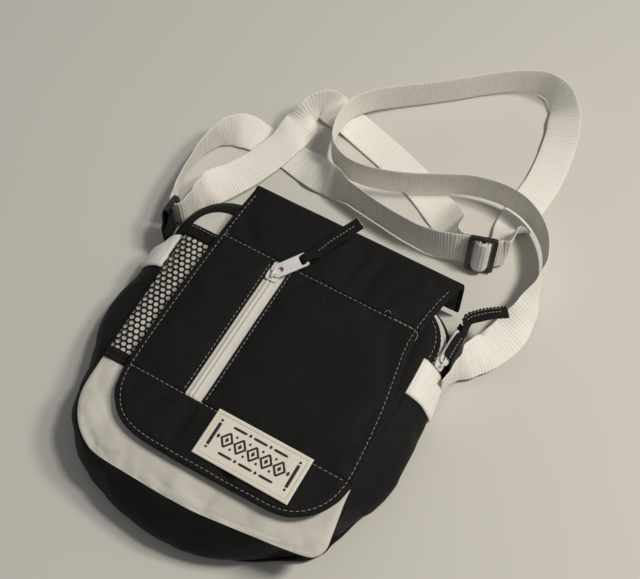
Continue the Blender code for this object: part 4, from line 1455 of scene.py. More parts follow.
def turn_edges(part, choose, steps):
    """Folds chosen open edges over; each step moves out in the sheet's plane and down."""
    with editing(part) as edit:
        edit.normal_update()
        edges = [edge for edge in edit.edges if len(edge.link_faces) == 1 and choose(edge)]
        sides = {}
        for edge in edges:
            face = edge.link_faces[0]
            first, second = (vert.co for vert in edge.verts)
            out = (second - first).normalized().cross(face.normal)
            if out.dot((first + second) / 2 - face.calc_center_median()) < 0:
                out = -out
            for vert in edge.verts:
                sides.setdefault(vert, []).append((out, face.normal.copy()))
        # start point, outward direction and normal of each open vertex and what grows from it
        roots = {}
        for vert, pairs in sides.items():
            out = sum((pair[0] for pair in pairs), Vector()).normalized()
            normal = sum((pair[1] for pair in pairs), Vector()).normalized()
            roots[vert] = (vert.co.copy(), out, normal)
        layer = edit.loops.layers.uv.active
        for reach, down in steps:
            grown = bmesh.ops.extrude_edge_only(edit, edges=edges)["geom"]
            fresh = {item for item in grown if isinstance(item, bmesh.types.BMVert)}
            for vert in fresh:
                others = (edge.other_vert(vert) for edge in vert.link_edges)
                root = next(roots[other] for other in others if other not in fresh)
                start, out, normal = root
                vert.co = start + out * reach * MM - normal * down * MM
                roots[vert] = root
            edges = [
                item
                for item in grown
                if isinstance(item, bmesh.types.BMEdge) and all(v in fresh for v in item.verts)
            ]
            for item in grown:
                if isinstance(item, bmesh.types.BMFace):
                    for corner in item.loops:
                        spot = corner.vert.co
                        corner[layer].uv = (spot.x, spot.y + spot.z)
        face_z(edit, 1)
    part.data.shade_smooth()


def fold_runs(y, z, profile):
    """Each profile point with its run in y, measured along the profile from y, z."""
    run = y
    for next_y, next_z in profile:
        run += math.hypot(next_y - y, next_z - z)
        y, z = next_y, next_z
        yield y, z, run


def near_window(edge, margin):
    middle = (edge.verts[0].co + edge.verts[1].co) / 2
    return (WINDOW_LEFT - margin) * MM < middle.x < (WINDOW_RIGHT + margin) * MM and (
        SEAM_LOW - margin
    ) * MM < middle.y < (SEAM_UP + margin) * MM


def flap_held(verts):
    """Vertices on the rim, along the seams and beside the window, which the cloth run keeps."""
    rim = distance_to(EDGE_IN, verts[:, :2])
    held = []
    for i, (x, y, _) in enumerate(verts):
        on_rim = rim[i] < 0.3 or abs(rim[i] - 3.3) < 0.5
        on_seam = min(abs(y - SEAM_UP), abs(y - SEAM_LOW)) < 0.25
        by_window = SEAM_LOW - 1 < y < SEAM_UP + 1 and (
            abs(x - WINDOW_LEFT) < 1.7 or abs(x - WINDOW_RIGHT) < 1.7
        )
        if y > 106.5 or on_rim or on_seam or by_window:
            held.append(i)
    return held


def build_flap_cover():
    grid = np.array([[(x, y, 0.0) for x in flap_columns(y)] for y in FLAP_ROWS])
    uvs = grid[:, :, :2].tolist()
    flat = grid.reshape(-1, 3)
    rim = distance_to(EDGE_IN, flat[:, :2])
    for i, spot in enumerate(flat):
        spot[2] = flap_top(spot[0], spot[1], rim[i])
    # the cloth goes on over the carrying edge and down the back
    last = grid[-1]
    left, right = FLAP[0][0], FLAP[-1][0]
    fold = []
    for y, z, run in fold_runs(FLAP_TOP_Y, 47.6, FOLD_OUT):
        share = min(1.0, (run - FLAP_TOP_Y) / 14)
        row = []
        for spot in last:
            across = (spot[0] - last[0][0]) / (last[-1][0] - last[0][0])
            x = spot[0] * (1 - share) + (left + (right - left) * across) * share
            wave = 0.35 * ripple(x * 0.04, run * 0.05, 6.0) * min(1.0, share * 2)
            carry = (spot[2] - FLAP_Z) * max(0.0, 1 - (run - FLAP_TOP_Y) / 5.0)
            row.append((x, y + wave * 0.6, z + carry))
        fold.append(row)
        uvs.append([(spot[0], run) for spot in row])

    low_row, top_row = (
        min(range(len(FLAP_ROWS)), key=lambda i: abs(FLAP_ROWS[i] - seam))
        for seam in (SEAM_LOW, SEAM_UP)
    )
    columns = flap_columns(SEAM_LOW)
    first_col, last_col = columns.index(WINDOW_LEFT), columns.index(WINDOW_RIGHT)

    def outside_window(i, j):
        return not (low_row <= i < top_row and first_col <= j < last_col)

    rows = np.concatenate([grid, np.array(fold)])
    part = sheet("flap_cover", rows, CLOTH, uvs, keep=outside_window)
    with editing(part) as edit:
        loose = [vert for vert in edit.verts if not vert.link_faces]
        bmesh.ops.delete(edit, geom=loose, context="VERTS")
    held = flap_held(coords(part.data) / MM)
    drape(part, held, pressure=0.9, grow=0.010, cap=1.25, bend=0.25)
    verts = coords(part.data) / MM
    face = verts[:, 1] < 104
    verts[:, 2] = np.where(face, np.clip(verts[:, 2], 46.2, 49.1), verts[:, 2])
    set_coords(part, verts * MM)

    def on_rim(edge):
        return not near_window(edge, 5) and edge.verts[0].co.z > 0.044

    def on_back(edge):
        spot = edge.verts[0].co
        return not near_window(edge, 5) and spot.z <= 0.044 and spot.y > 0.112

    turn_edges(part, lambda edge: near_window(edge, 0.2), WINDOW_TURN)
    turn_edges(part, on_rim, RIM_TURN)
    turn_edges(part, on_back, BACK_TURN)
    subdivide(part)
    panels = ["flap_panel_" + end for end in ("top", "left", "right", "bottom")]
    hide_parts(*panels, "flap_edge", "flap_spine")
    return part


def build_flap_lining():
    outline = inset(EDGE, 3.2)
    low = min(point[1] for point in outline) + 0.02
    cols = 46
    rows, uvs = [], []
    for y in levels((low, -56.0, 10, -1), (-56.0, LINING_TOP_Y, 44, 0)):
        left, right = flap_limits(outline, y)
        row = []
        for k in range(cols):
            z = 42.95 + 0.12 * ripple(left * 0.02 + k * 0.15, y * 0.05, 2)
            row.append((left + (right - left) * k / (cols - 1), y, z))
        rows.append(row)
        uvs.append([spot[:2] for spot in row])
    for y, z, run in fold_runs(LINING_TOP_Y, 42.9, FOLD_IN):
        row = [(-66.0 + 150.5 * k / (cols - 1), y, z) for k in range(cols)]
        rows.append(row)
        uvs.append([(spot[0], run) for spot in row])
    part = sheet("flap_lining_cloth", rows, LINING, uvs, flip=True)
    thicken(part, 0.5, offset=0.0)
    subdivide(part)
    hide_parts("flap_lining")
    return part


def surface_of(part):
    bpy.context.view_layer.update()
    final = part.evaluated_get(bpy.context.evaluated_depsgraph_get())
    mesh = final.to_mesh()
    tree = BVHTree.FromPolygons(
        [vert.co.copy() for vert in mesh.vertices],
        [tuple(face.vertices) for face in mesh.polygons],
    )
    final.to_mesh_clear()
    return tree


def drop_on(tree, x, y):
    """Point and upward normal under x, y; the flap's usual height where nothing is hit."""
    spot, normal = tree.ray_cast(Vector((x, y, 70.0)) * MM, -UP)[:2]
    if spot is None:
        return Vector((x, y, 47.8)), Vector(UP)
    return spot / MM, normal if normal.z > 0 else -normal


def dropped(tree, points):
    """Surface points and normals under 2-D points."""
    return zip(*[drop_on(tree, x, y) for x, y in points])


def straight(start, end, step=1.5):
    start, end = Vector(start), Vector(end)
    count = max(2, int((end - start).length / step))
    return [tuple(start.lerp(end, k / count)) for k in range(count + 1)]


# loose thread ends on the flap: x, y
TAILS = [
    [(71.5, 67.8), (74.4, 67.2), (76.9, 65.6), (78.0, 62.6), (77.6, 60.4)],
    [(52.0, 68.4), (53.4, 70.2), (55.4, 70.4), (56.2, 69.2)],
    [(-67.6, 66.6), (-66.0, 68.6), (-63.6, 69.0)],
    [(20.5, -41.6), (22.6, -42.8), (24.2, -42.2)],
]


def build_flap_stitches(tree):
    threads = Threads()
    ring = [Vector(point) for point in inset(EDGE, 4.4) if point[1] < 104.5]
    line = dropped(tree, even(ring, 1.2))
    threads.row(*line, pitch=3.5, length=2.5, radius=0.165, lift=0.03, jitter=0.22, seed=1.0)
    for y, seed in ((SEAM_UP, 2.0), (SEAM_LOW, 3.0)):
        left, right = flap_limits(EDGE, y)
        line = dropped(tree, straight((left + 4.6, y), (right - 4.4, y)))
        threads.row(*line, pitch=3.6, length=2.6, radius=0.18, lift=0.04, jitter=0.22, seed=seed)
    for x, seed in ((WINDOW_LEFT - 1.5, 4.0), (WINDOW_RIGHT + 1.5, 5.0)):
        line = dropped(tree, straight((x, SEAM_LOW + 2.2), (x, SEAM_UP - 2.6)))
        threads.row(
            *line, pitch=3.3, length=2.4, radius=0.17, lift=0.03, jitter=0.2, seed=seed, start=0.6
        )
    # doubled stitches where the upper seam ends on the right
    line = dropped(tree, straight((58, SEAM_UP + 0.5), (73, SEAM_UP + 0.3)))
    threads.row(*line, pitch=3.4, length=2.9, radius=0.18, lift=0.18, seed=6.0, start=1.2)
    for tail in TAILS:
        path = []
        for k in range(9):
            spot = catmull([(x, y, 0) for x, y in tail], k / 8)
            point, normal = drop_on(tree, spot.x, spot.y)
            path.append(point + normal * (0.25 + 0.7 * math.sin(math.pi * k / 8)))
        threads.add(path, radius=0.14)
    threads.build("flap_stitches", THREAD, "white_cloth", body="flap")


def build_flap_zip_tapes():
    low, high = SEAM_LOW - 3.0, SEAM_UP + 3.0
    steps = 130
    for label, side, outer in (
        ("left", -1, WINDOW_LEFT - 4.5),
        ("right", 1, WINDOW_RIGHT + 4.5),
    ):
        # section from the outer edge to the zip's centre line: x, z
        section = [(outer, 45.75), (outer * 0.5 + ZIP_X * 0.5 + side * 1.2, 45.8)]
        section += [
            (ZIP_X + side * gap, z)
            for gap, z in (
                (3.1, 45.9), (2.5, 46.1), (2.15, 46.55), (1.6, 46.95), (1.0, 46.9), (0.5, 46.4),
                (0.35, 45.8),
            )
        ]
        rows, uvs = [], []
        for i in range(steps + 1):
            y = low + (high - low) * i / steps
            # both ends dive under the seams
            dive = smoothstep(SEAM_LOW + 1.5, SEAM_LOW - 1.0, y)
            dive += smoothstep(SEAM_UP - 1.5, SEAM_UP + 1.0, y)
            row = []
            for k, (x, z) in enumerate(section):
                wave = 0.10 * ripple(x * 0.2, y * 0.08, 3.0)
                z = min(z, z * (1 - dive) + 45.0 * dive)
                bead = 0.05 * math.cos(2 * math.pi * i / 3) if k in (4, 5, 6) else 0.0
                row.append((x + wave * (0.6 if k > 2 else 1), y, z + wave * 0.6 + bead))
            rows.append(row)
            uvs.append([(x, y) for x, _ in section])
        part = sheet("flap_tape_" + label, rows, TAPE, uvs, flip=(side < 0))
        finish(part, 0.45, "zip_tape", "flap_zip_tape_" + label, body="flap")

    step = 0.3
    for label, side, phase in (("left", -1, math.pi), ("right", 1, 0)):
        rings, uvs = [], []
        for i in range(int((high - low - 4.0) / step) + 1):
            wave = 0.5 + 0.5 * math.cos(2 * math.pi * i / 4 + phase)
            x = ZIP_X + side * (0.95 - 0.25 * wave)
            width = 0.55 + 0.25 * wave
            y = low + 2.0 + i * step
            rings.append(
                [(x + math.cos(a) * width, y, 45.6 + math.sin(a) * 0.42) for a in angles(8)]
            )
            uvs += [(k, i * step) for k in range(8)]
        part = tube("flap_teeth_" + label, rings, COIL, uvs)
        register(part, "zip_coil", "flap_zip_coil_" + label, body="flap")


# ---------------------------------------------------------------- zip hardware

# left halves of the slider's plate and of the pull tab, in their own planes
SLIDER_HALF = [
    (-3.1, -5.5), (-4.0, -4.6), (-4.35, -2.0), (-4.35, 1.0), (-4.0, 3.4), (-3.2, 5.1),
    (-1.6, 5.6), (-0.5, 4.6),
]
PULLER_HALF = [
    (-2.6, -0.9), (-3.9, -0.2), (-4.6, 1.6), (-4.75, 4.5), (-4.8, PULLER_LEN - 1.2),
    (-4.3, PULLER_LEN - 0.1), (-3.4, PULLER_LEN + 0.15),
]
RIBBON = 9.0  # width of a pull ribbon


def slider_mesh(name, place):
    """Two plates joined by a post, and the bail that arches over them."""
    top = mirrored(SLIDER_HALF)
    low = [(x * 0.93, y * 0.98) for x, y in top]
    post = rounded(-0.5, 2.0, 0.5, 4.6, 0.3, 2)
    parts = [
        plate(name + "_a", top, 1.45, 2.45, ENAMEL, place, soft=0.42),
        plate(name + "_b", low, -2.5, -1.65, ENAMEL, place, soft=0.3),
        plate(name + "_c", post, -2.0, 1.7, ENAMEL, place, soft=0.12),
    ]
    right = Vector((1, 0, 0))
    rings = []
    for k in range(15):
        arc = math.pi * k / 14
        centre = Vector((0, -3.7 * math.cos(arc), 2.1 + 3.1 * math.sin(arc) ** 0.6))
        normal = right.cross(Vector((0, math.sin(arc), math.cos(arc) * 0.9)).normalized())
        rings.append(
            [
                place @ (centre + right * (0.95 * math.cos(a)) + normal * (0.5 * math.sin(a)))
                for a in angles(10)
            ]
        )
    parts.append(tube(name + "_d", rings, ENAMEL))
    return join(name, parts)


def puller_mesh(name, place):
    """Pull tab with a hole at each end and a raised rim round the near one."""
    holes = [
        rounded(-1.9, 0.75, 1.9, 6.3, 1.7, 5),
        rounded(-3.5, PULLER_LEN - 4.9, 3.5, PULLER_LEN - 1.5, 1.0, 4),
    ]
    outer = mirrored(PULLER_HALF)
    body = plate(name + "_a", outer, -0.55, 0.55, ENAMEL, place, holes, soft=0.38)
    loop = rounded(-2.75, -0.1, 2.75, 7.2, 2.6, 6)
    rings = []
    for i, (x, y) in enumerate(loop):
        after, before = loop[(i + 1) % len(loop)], loop[i - 1]
        along = Vector((after[0] - before[0], after[1] - before[1], 0)).normalized()
        side = Vector((along.y, -along.x, 0))
        centre = Vector((x, y, 0.62))
        rings.append(
            [
                place @ (centre + side * 0.42 * math.cos(a) + Vector((0, 0, 0.32 * math.sin(a))))
                for a in angles(8)
            ]
        )
    return join(name, [body, tube(name + "_b", rings, ENAMEL, loop=True)])


def ribbon_stitches(name, stations, lanes, seed, body):
    """Stitches on both faces of a pull ribbon, and frayed yarn at its cut end."""
    centre, along, across, face, half, run = path_frames(stations, 1.0)
    threads = Threads()
    first = next(i for i in range(len(run)) if run[i] > 24.5)
    stitched = range(first, len(run) - 3)
    for lane in lanes:
        for sign, more in ((1, 0), (-1, 3)):
            threads.row(
                [
                    Vector(centre[i] + across[i] * half[i] * lane + face[i] * 0.62 * sign)
                    for i in stitched
                ],
                [Vector(face[i] * sign) for i in stitched],
                pitch=2.4, length=1.7, radius=0.19, lift=0.12, seed=seed + lane + more,
            )
    tip, ahead, side = Vector(centre[-1]), Vector(along[-1]), Vector(across[-1])
    normal = Vector(face[-1])
    for k in range(11):
        length = 1.2 + 1.4 * abs(ripple(k * 1.3, seed, 2.0))
        lean = ripple(k * 2.1, seed, 5.0)
        root = tip + side * (half[-1] * ((k - 5) / 5.5))
        path = [
            root - ahead * 0.8,
            root + ahead * length * 0.5 + side * lean * 0.4,
            root + ahead * length + side * lean * 1.3 + normal * lean * 0.5,
        ]
        threads.add(path, radius=0.16, sides=5)
    threads.build(name, THREAD, "white_cloth", body=body)


def zip_set(zipper, place, turn, lift, local, tail, seed, lanes, notch=0.0):
    """Slider, pull tab and ribbon; local ribbon stations start from the tab's far end.

    Returns the tab's frame.
    """
    prefix = zipper + "_zip"
    part = slider_mesh(prefix + "_slide_body", place)
    register(part, "white_enamel", prefix + "_slider", body=zipper + "_slider")
    tab = place @ Matrix.Translation((0, 0, BAR_Z))
    tab = tab @ Matrix.Rotation(-turn, 4, "Z") @ Matrix.Rotation(lift, 4, "X")
    part = puller_mesh(prefix + "_pull_tab", tab)
    register(part, "white_enamel", prefix + "_puller", body=zipper + "_puller")
    end = tab @ Matrix.Translation((0, PULLER_LEN - 0.9, 0))
    stations = [
        (*(end @ Vector(row[:3])), *(end.to_3x3() @ Vector(row[3:6])), row[6]) for row in local
    ]
    stations += tail
    part = band(
        prefix + "_pull_ribbon", stations, 1.1, TRIM, rib=0.06, notch=notch, fray=1.6, seed=seed
    )
    register(part, "black_cloth", prefix + "_pull", body=zipper + "_pull")
    ribbon_stitches(prefix + "_pull_stitches", stations, lanes, seed, zipper + "_pull")
    return tab


def ribbon_hook(short_end, short_bend, top_z):
    """Narrow part of a ribbon: its short end, then round through the tab's far hole."""
    spots = [
        (short_end, -2.2), (short_bend, -2.2), (-0.6, -2.0), (-2.4, 0.0), (-0.6, 2.0),
        (4.0, top_z),
    ]
    return [(0, y, z, 1, 0, 0, 6.4) for y, z in spots]


def build_flap_zip():
    length, rise, lean = 41.0, 3.0, -0.14  # the ribbon beyond the tab
    reaches = ((lean * 4, 10.0, 0.1), (lean * length * 0.5, length * 0.5, 0.5))
    local = ribbon_hook(9.0, 4.0, 2.1)
    for x, y, share in (*reaches, (lean * length, length, 1)):
        local.append((x, y, 2.0 + rise * share, 1, -lean, 0, RIBBON))
    place = Matrix.Translation((ZIP_X, SLIDER_Y, 46.0))
    zip_set("flap", place, math.radians(38), math.radians(8), local, [], 1.0, lanes=(0.0,))


def build_main_zip():
    y = 64.0
    point = Vector((right_at(y), y))
    side = Vector((RIGHT_TOP - RIGHT_LOW, PANEL_TOP - PANEL_LOW)).normalized()
    out = Vector((side.y, -side.x))
    down = (COIL_FRONT + COIL_BACK) / 2
    normal = wall_normal(point, out, down)
    along = Vector((side.x, side.y, 0.0))
    place = axes_at(wall(point, out, down, -0.9), along.cross(normal), along, normal)
    # stations in the bag's frame: x, y, z, direction across, width
    tail = [
        (98.5, 98.0, 33.0, 0.75, -0.35, -0.3, 8.0),
        (103.5, 104.0, 33.5, 0.65, -0.7, -0.1, RIBBON),
        (110.0, 109.5, 34.0, 0.62, -0.78, 0, RIBBON),
        (118.0, 115.5, 33.0, 0.6, -0.8, 0, RIBBON),
    ]
    local = ribbon_hook(7.0, 3.5, 2.2)
    lift = math.radians(4)
    lanes = (-0.05, -0.62)
    tab = zip_set("main", place, 0.0, lift, local, tail, 5.0, lanes=lanes, notch=0.9)
    build_tab_cover(tab)


# stations of the ribbon end over the main zip's tab: distance from the tab's end, z, width
TAB_COVER = [
    (1.6, 1.9, 8.0), (5.0, 1.75, 9.2), (9.0, 1.6, 9.6), (13.0, 1.6, 9.6), (16.5, 1.75, 9.4),
    (18.6, 2.1, 9.2),
]


def build_tab_cover(tab):
    """The short end of the main zip's ribbon lies back over the tab, with a line of stitches."""
    across = tab.to_3x3() @ Vector((1, 0, 0))
    stations = [
        (*(tab @ Vector((0.0, PULLER_LEN - back, z))), *across, width)
        for back, z, width in TAB_COVER
    ]
    part = band("main_zip_tab_cover", stations, 0.9, TRIM, rib=0.05, fray=1.0, seed=7.0)
    register(part, "black_cloth", body="main_puller")
    normal = tab.to_3x3() @ UP
    centres = path_frames(stations, 1.0)[0]
    line = [Vector(centre) + across * 0.8 + normal * 0.5 for centre in centres]
    threads = Threads()
    threads.row(
        line, [normal] * len(line),
        pitch=2.4, length=1.8, radius=0.19, lift=0.1, seed=9.0, start=0.8,
    )
    threads.build("main_zip_tab_stitches", THREAD, "white_cloth", body="main_puller")


# ---------------------------------------------------------------- label

LABEL_X, LABEL_Y, LABEL_Z = 30.0, -54.5, 49.75
LABEL_W, LABEL_H = 66.0, 32.0
BORDER = 2.6  # stitched groove, in from the label's edge


def label_stations(size, count):
    stations = {-size / 2 + size * k / (count - 1) for k in range(count)}
    return sorted(stations | {-size / 2 + 0.3, size / 2 - 0.3})


def build_label_cloth():
    rows = []
    for y in label_stations(LABEL_H, 33):
        row = []
        for x in label_stations(LABEL_W, 67):
            edge = min(LABEL_W / 2 - abs(x), LABEL_H / 2 - abs(y))
            z = LABEL_Z - 0.75 * math.exp(-edge / 0.35)
            z += 0.28 * math.exp(-(((edge - 1.1) / 0.8) ** 2))
            z -= 0.38 * math.exp(-(((edge - BORDER) / 0.45) ** 2))
            z += 0.12 * ripple(x * 0.12, y * 0.12, 8.0) + 0.1 * math.cos(x / LABEL_W * 3.0)
            row.append((LABEL_X + x, LABEL_Y + y, z))
        rows.append(row)
    part = sheet("label_cloth", rows, PATCH)
    finish(part, 1.1, "cream_patch", "label_patch", body="flap")
    return surface_of(part)


def build_label_border(face):
    left, right = LABEL_X - LABEL_W / 2 + BORDER, LABEL_X + LABEL_W / 2 - BORDER
    low, high = LABEL_Y - LABEL_H / 2 + BORDER, LABEL_Y + LABEL_H / 2 - BORDER
    loop = [(left, low), (right, low), (right, high), (left, high), (left, low)]
    threads = Threads()
    for k, (start, end) in enumerate(zip(loop, loop[1:])):
        line = dropped(face, straight(start, end))
        threads.row(*line, pitch=2.0, length=1.75, radius=0.16, lift=0.05, seed=30.0 + k)
    threads.build("label_border_stitches", TAN, "cream_patch", body="flap")


def build_embroidery(face):
    """Plain ornament in satin stitch: diamonds, bars and dots."""
    threads = Threads()

    def fill(span, low, high, pitch=0.33):
        """Stitches across a shape; span gives its centre and half width at a height."""
        y, k = low, 0
        while y <= high:
            middle, half = span(y)
            left, right = middle - half, middle + half
            left += 0.12 * ripple(k * 0.9, left, 1.0)
            right += 0.12 * ripple(k * 0.9, right, 2.0)
            if right - left > 0.35:
                path = []
                for share in (0.0, 0.15, 0.5, 0.85, 1.0):
                    point, normal = drop_on(face, left + (right - left) * share, y)
                    path.append(point + normal * (-0.15 if share in (0.0, 1.0) else 0.24))
                threads.add(path, radius=0.25, sides=5)
            y += pitch
            k += 1

    def diamond(x, y, width, height):
        fill(lambda at: (x, width * (1 - abs(at - y) / height)), y - height, y + height)

    def hollow_diamond(x, y, width, height, line):
        for side in (-1, 1):
            fill(
                lambda at: (x + side * width * (1 - abs(at - y) / height), line / 2),
                y - height,
                y + height,
            )

    def bar(x, half, low, high):
        fill(lambda at: (x, half), low, high)

    def dot(x, y, radius):
        fill(
            lambda at: (x, math.sqrt(max(0.0, radius * radius - (at - y) ** 2))),
            y - radius,
            y + radius,
        )

    middle = LABEL_Y + 0.6
    pitch = 9.0
    for k in range(5):
        x = LABEL_X - 2 * pitch + k * pitch
        hollow_diamond(x, middle, width=3.7, height=4.8, line=1.6)
        diamond(x, middle, width=1.3, height=1.7)
    for k in range(4):
        x = LABEL_X - 1.5 * pitch + k * pitch
        dot(x, middle + 4.3, radius=0.75)
        dot(x, middle - 4.3, radius=0.75)
    for side in (-1, 1):
        x = LABEL_X + side * 27.0
        bar(x, 1.1, middle - 7.5, middle + 7.5)
        diamond(LABEL_X + side * 24.0, middle, width=1.1, height=1.6)
        dot(x, middle + 9.4, radius=0.8)
        dot(x, middle - 9.4, radius=0.8)
    for k in range(3):
        x = LABEL_X - 14.0 + k * 14.0
        bar(x, 5.0, middle + 8.4, middle + 9.7)
        bar(x, 5.0, middle - 9.7, middle - 8.4)
    for k in range(2):
        x = LABEL_X - 7.0 + k * 14.0
        diamond(x, middle + 9.1, width=1.1, height=1.2)
        diamond(x, middle - 9.1, width=1.1, height=1.2)
    threads.build("label_embroidery", INK, "black_cloth", body="flap")


# ---------------------------------------------------------------- strap

WEB_W, WEB_T = 25.0, 1.2
# stations of the strap's centre line: x, y, z, then a direction across the band
STRAP_START = [
    (102.9, 53.5, 16.5, 0, 0, 1), (104.3, 61.0, 16.5, 0, 0, 1),
    (106.5, 71.0, 16.0, -0.15, 0.1, 1), (111.0, 84.0, 12.5, -0.6, 0.35, 0.7),
    (117.5, 98.0, 8.0, -0.85, 0.45, 0.3), (123.5, 114.0, 7.5, -0.9, 0.3, 0.35),
    (127.0, 135.0, 11.8, -0.6, 0.1, 0.8), (126.5, 155.0, 14.0, -0.2, 0, 1),
    (123.5, 171.0, 15.5, 0, 0, 1), (116.5, 186.0, 16.5, 0, 0, 1), (105.0, 198.0, 16.5, 0, 0, 1),
    (89.0, 206.0, 16.5, 0, 0, 1), (71.0, 207.5, 16.5, 0, 0, 1), (50.0, 203.0, 16.5, 0, 0, 1),
    (30.0, 193.0, 16.5, 0, 0, 1), (8.0, 181.5, 17.0, 0, 0, 1), (-15.0, 173.5, 17.5, 0, 0, 1),
    (-34.0, 173.0, 17.5, 0, 0, 1), (-49.0, 182.0, 17.5, 0, 0, 1), (-56.0, 200.0, 18.0, 0, 0, 1),
    (-54.5, 220.0, 18.0, 0, 0, 1), (-45.0, 235.0, 17.0, 0, 0, 1), (-31.0, 249.0, 15.0, 0, 0, 1),
    (-13.0, 264.0, 14.0, 0, 0, 1), (5.0, 279.0, 14.0, 0, 0, 1), (22.0, 294.0, 14.0, 0, 0, 1),
    (41.0, 308.0, 14.0, 0, 0, 1), (60.0, 315.0, 14.0, 0.1, 0.1, 1),
    (76.0, 308.0, 12.5, 0.5, 0.3, 0.8), (86.0, 291.0, 8.0, 0.9, 0.3, 0.4),
    (91.0, 268.0, 4.0, 1, 0.1, 0.15), (93.0, 243.0, 2.0, 1, 0, 0),
    (91.5, 222.0, 1.4, 1, 0.02, 0), (90.5, 208.0, 1.4, 1, 0.0, 0),
    (90.0, 197.0, 2.0, 1, 0.0, 0.02), (91.0, 187.0, 8.0, 0.85, 0.0, 0.5),
    (94.0, 177.0, 13.8, 0.3, 0.1, 1), (97.0, 168.5, 15.5, 0, 0.1, 1),
]
STRAP_REST = [
    (49.0, 149.5, 14.4, -0.05, 0.2, 1), (31.0, 149.0, 14.0, 0, 0.1, 1),
    (5.0, 152.0, 13.8, 0, 0.05, 1), (-20.0, 156.5, 13.6, 0, 0.1, 1),
    (-40.0, 160.5, 12.0, 0, 0.6, 0.8), (-56.0, 165.5, 6.2, 0, 1, 0.25),
    (-72.0, 170.0, 1.9, 0, 1, 0), (-88.0, 173.0, 1.2, 0, 1, 0),
    (-103.0, 173.5, 1.6, -0.1, 1, 0.05), (-114.5, 170.5, 7.5, -0.3, 0.8, 0.5),
    (-123.5, 162.0, 13.0, -0.2, 0.3, 1), (-130.0, 150.0, 14.2, 0, 0, 1),
    (-133.0, 137.0, 14.4, 0.15, 0, 1), (-133.0, 121.0, 14.6, 0.25, 0, 1),
    (-130.0, 104.0, 15.5, 0.2, 0, 1), (-124.5, 92.0, 16.5, 0, 0, 1),
    (-122.8, 85.0, 16.5, 0, 0, 1), (-121.2, 81.6, 16.5, 0, 0, 1), (-118.0, 80.2, 16.5, 0, 0, 1),
    (-114.8, 81.6, 16.5, 0, 0, 1), (-113.2, 85.0, 16.5, 0, 0, 1), (-112.8, 93.0, 16.0, 0, 0, 1),
    (-111.5, 104.0, 14.2, -0.3, 0, 1), (-107.5, 117.0, 10.5, -0.8, 0.2, 0.55),
    (-100.0, 133.0, 7.5, -1, 0.2, 0.2), (-92.0, 152.0, 7.0, -1, 0.25, 0.05),
    (-86.0, 173.0, 7.0, -1, 0.25, 0), (-83.0, 192.0, 9.0, -0.9, 0.3, 0.45),
    (-81.5, 206.0, 14.0, -0.3, 0.1, 1), (-76.0, 217.5, 13.5, 0.2, 0.5, 0.9),
    (-65.0, 220.5, 5.5, 0.1, 1, 0.3), (-52.0, 218.5, 2.3, 0.1, 1, 0),
    (-30.0, 212.0, 1.4, 0.3, 1, 0), (-5.0, 203.5, 1.4, 0.35, 1, 0),
    (18.0, 194.0, 1.4, 0.4, 1, 0), (36.0, 184.0, 2.2, 0.45, 1, 0.05),
    (50.0, 173.5, 8.0, 0.4, 0.8, 0.5),
]
# the band's two passes through the glide, in the glide's frame: x along the band, z
GLIDE_PASS = [
    (-13.5, -4.6), (-10.6, -3.0), (-8.3, -2.6), (-6.2, -1.5), (-4.7, 1.4), (-3.0, 3.6),
    (0.0, 4.3), (3.0, 3.6), (4.7, 1.4), (6.2, -1.5), (8.3, -2.6), (11.0, -2.6), (15.0, -2.6),
    (21.0, -2.2),
]
GLIDE_END = [
    (17.5, -7.5), (11.0, -5.0), (6.2, -4.0), (3.4, -1.9), (2.6, 0.4), (2.0, 2.1), (0.0, 2.7),
    (-2.0, 2.1), (-2.6, 0.4), (-3.2, -1.9), (-4.2, -4.2), (-6.0, -6.4),
]
GLIDE_CENTRE = Vector((82.0, 156.0, 16.6))
GLIDE_LEAN = math.radians(76)
RING_Z = 16.5
# the loop that holds the side ring: x, y
RING_HOLDER = [
    (-111.0, 58.0), (-112.4, 64.0), (-114.4, 69.5), (-115.0, 73.5), (-116.0, 76.0),
    (-118.0, 76.8), (-120.0, 76.0), (-121.0, 73.5), (-119.6, 69.0), (-116.4, 65.0),
    (-114.0, 60.0),
]


def glide_frame():
    """Local x along the band towards the left, y down across it, z out of its front face."""
    along = Vector((-0.95, -0.30, 0.0)).normalized()
    level = Vector((along.y, -along.x, 0.0))
    across = level * math.cos(GLIDE_LEAN) + UP * math.sin(GLIDE_LEAN)
    return axes_at(GLIDE_CENTRE, along, -across, across.cross(along))


def build_strap():
    glide = glide_frame()
    across = glide.to_3x3() @ Vector((0, -1, 0))

    def through_glide(spots):
        return [(*(glide @ Vector((x, 0, z))), *across) for x, z in spots]

    stations = [*STRAP_START, *through_glide(GLIDE_PASS), *STRAP_REST, *through_glide(GLIDE_END)]
    stations = [(*station, WEB_W) for station in stations]
    part = band("shoulder_strap", stations, WEB_T, WEBBING, rib=0.19, step=0.55, pitch=2.2)
    register(part, "white_webbing", "strap_webbing")

    slots = [rounded(-7.0, -13.1, -1.5, 13.1, 0.9, 3), rounded(1.5, -13.1, 7.0, 13.1, 0.9, 3)]
    outer = rounded(-10.0, -15.5, 10.0, 15.5, 2.6)
    part = plate("strap_glide_buckle", outer, -1.3, 1.3, PLASTIC, glide, slots, soft=0.62)
    register(part, "black_plastic", "strap_adjuster")


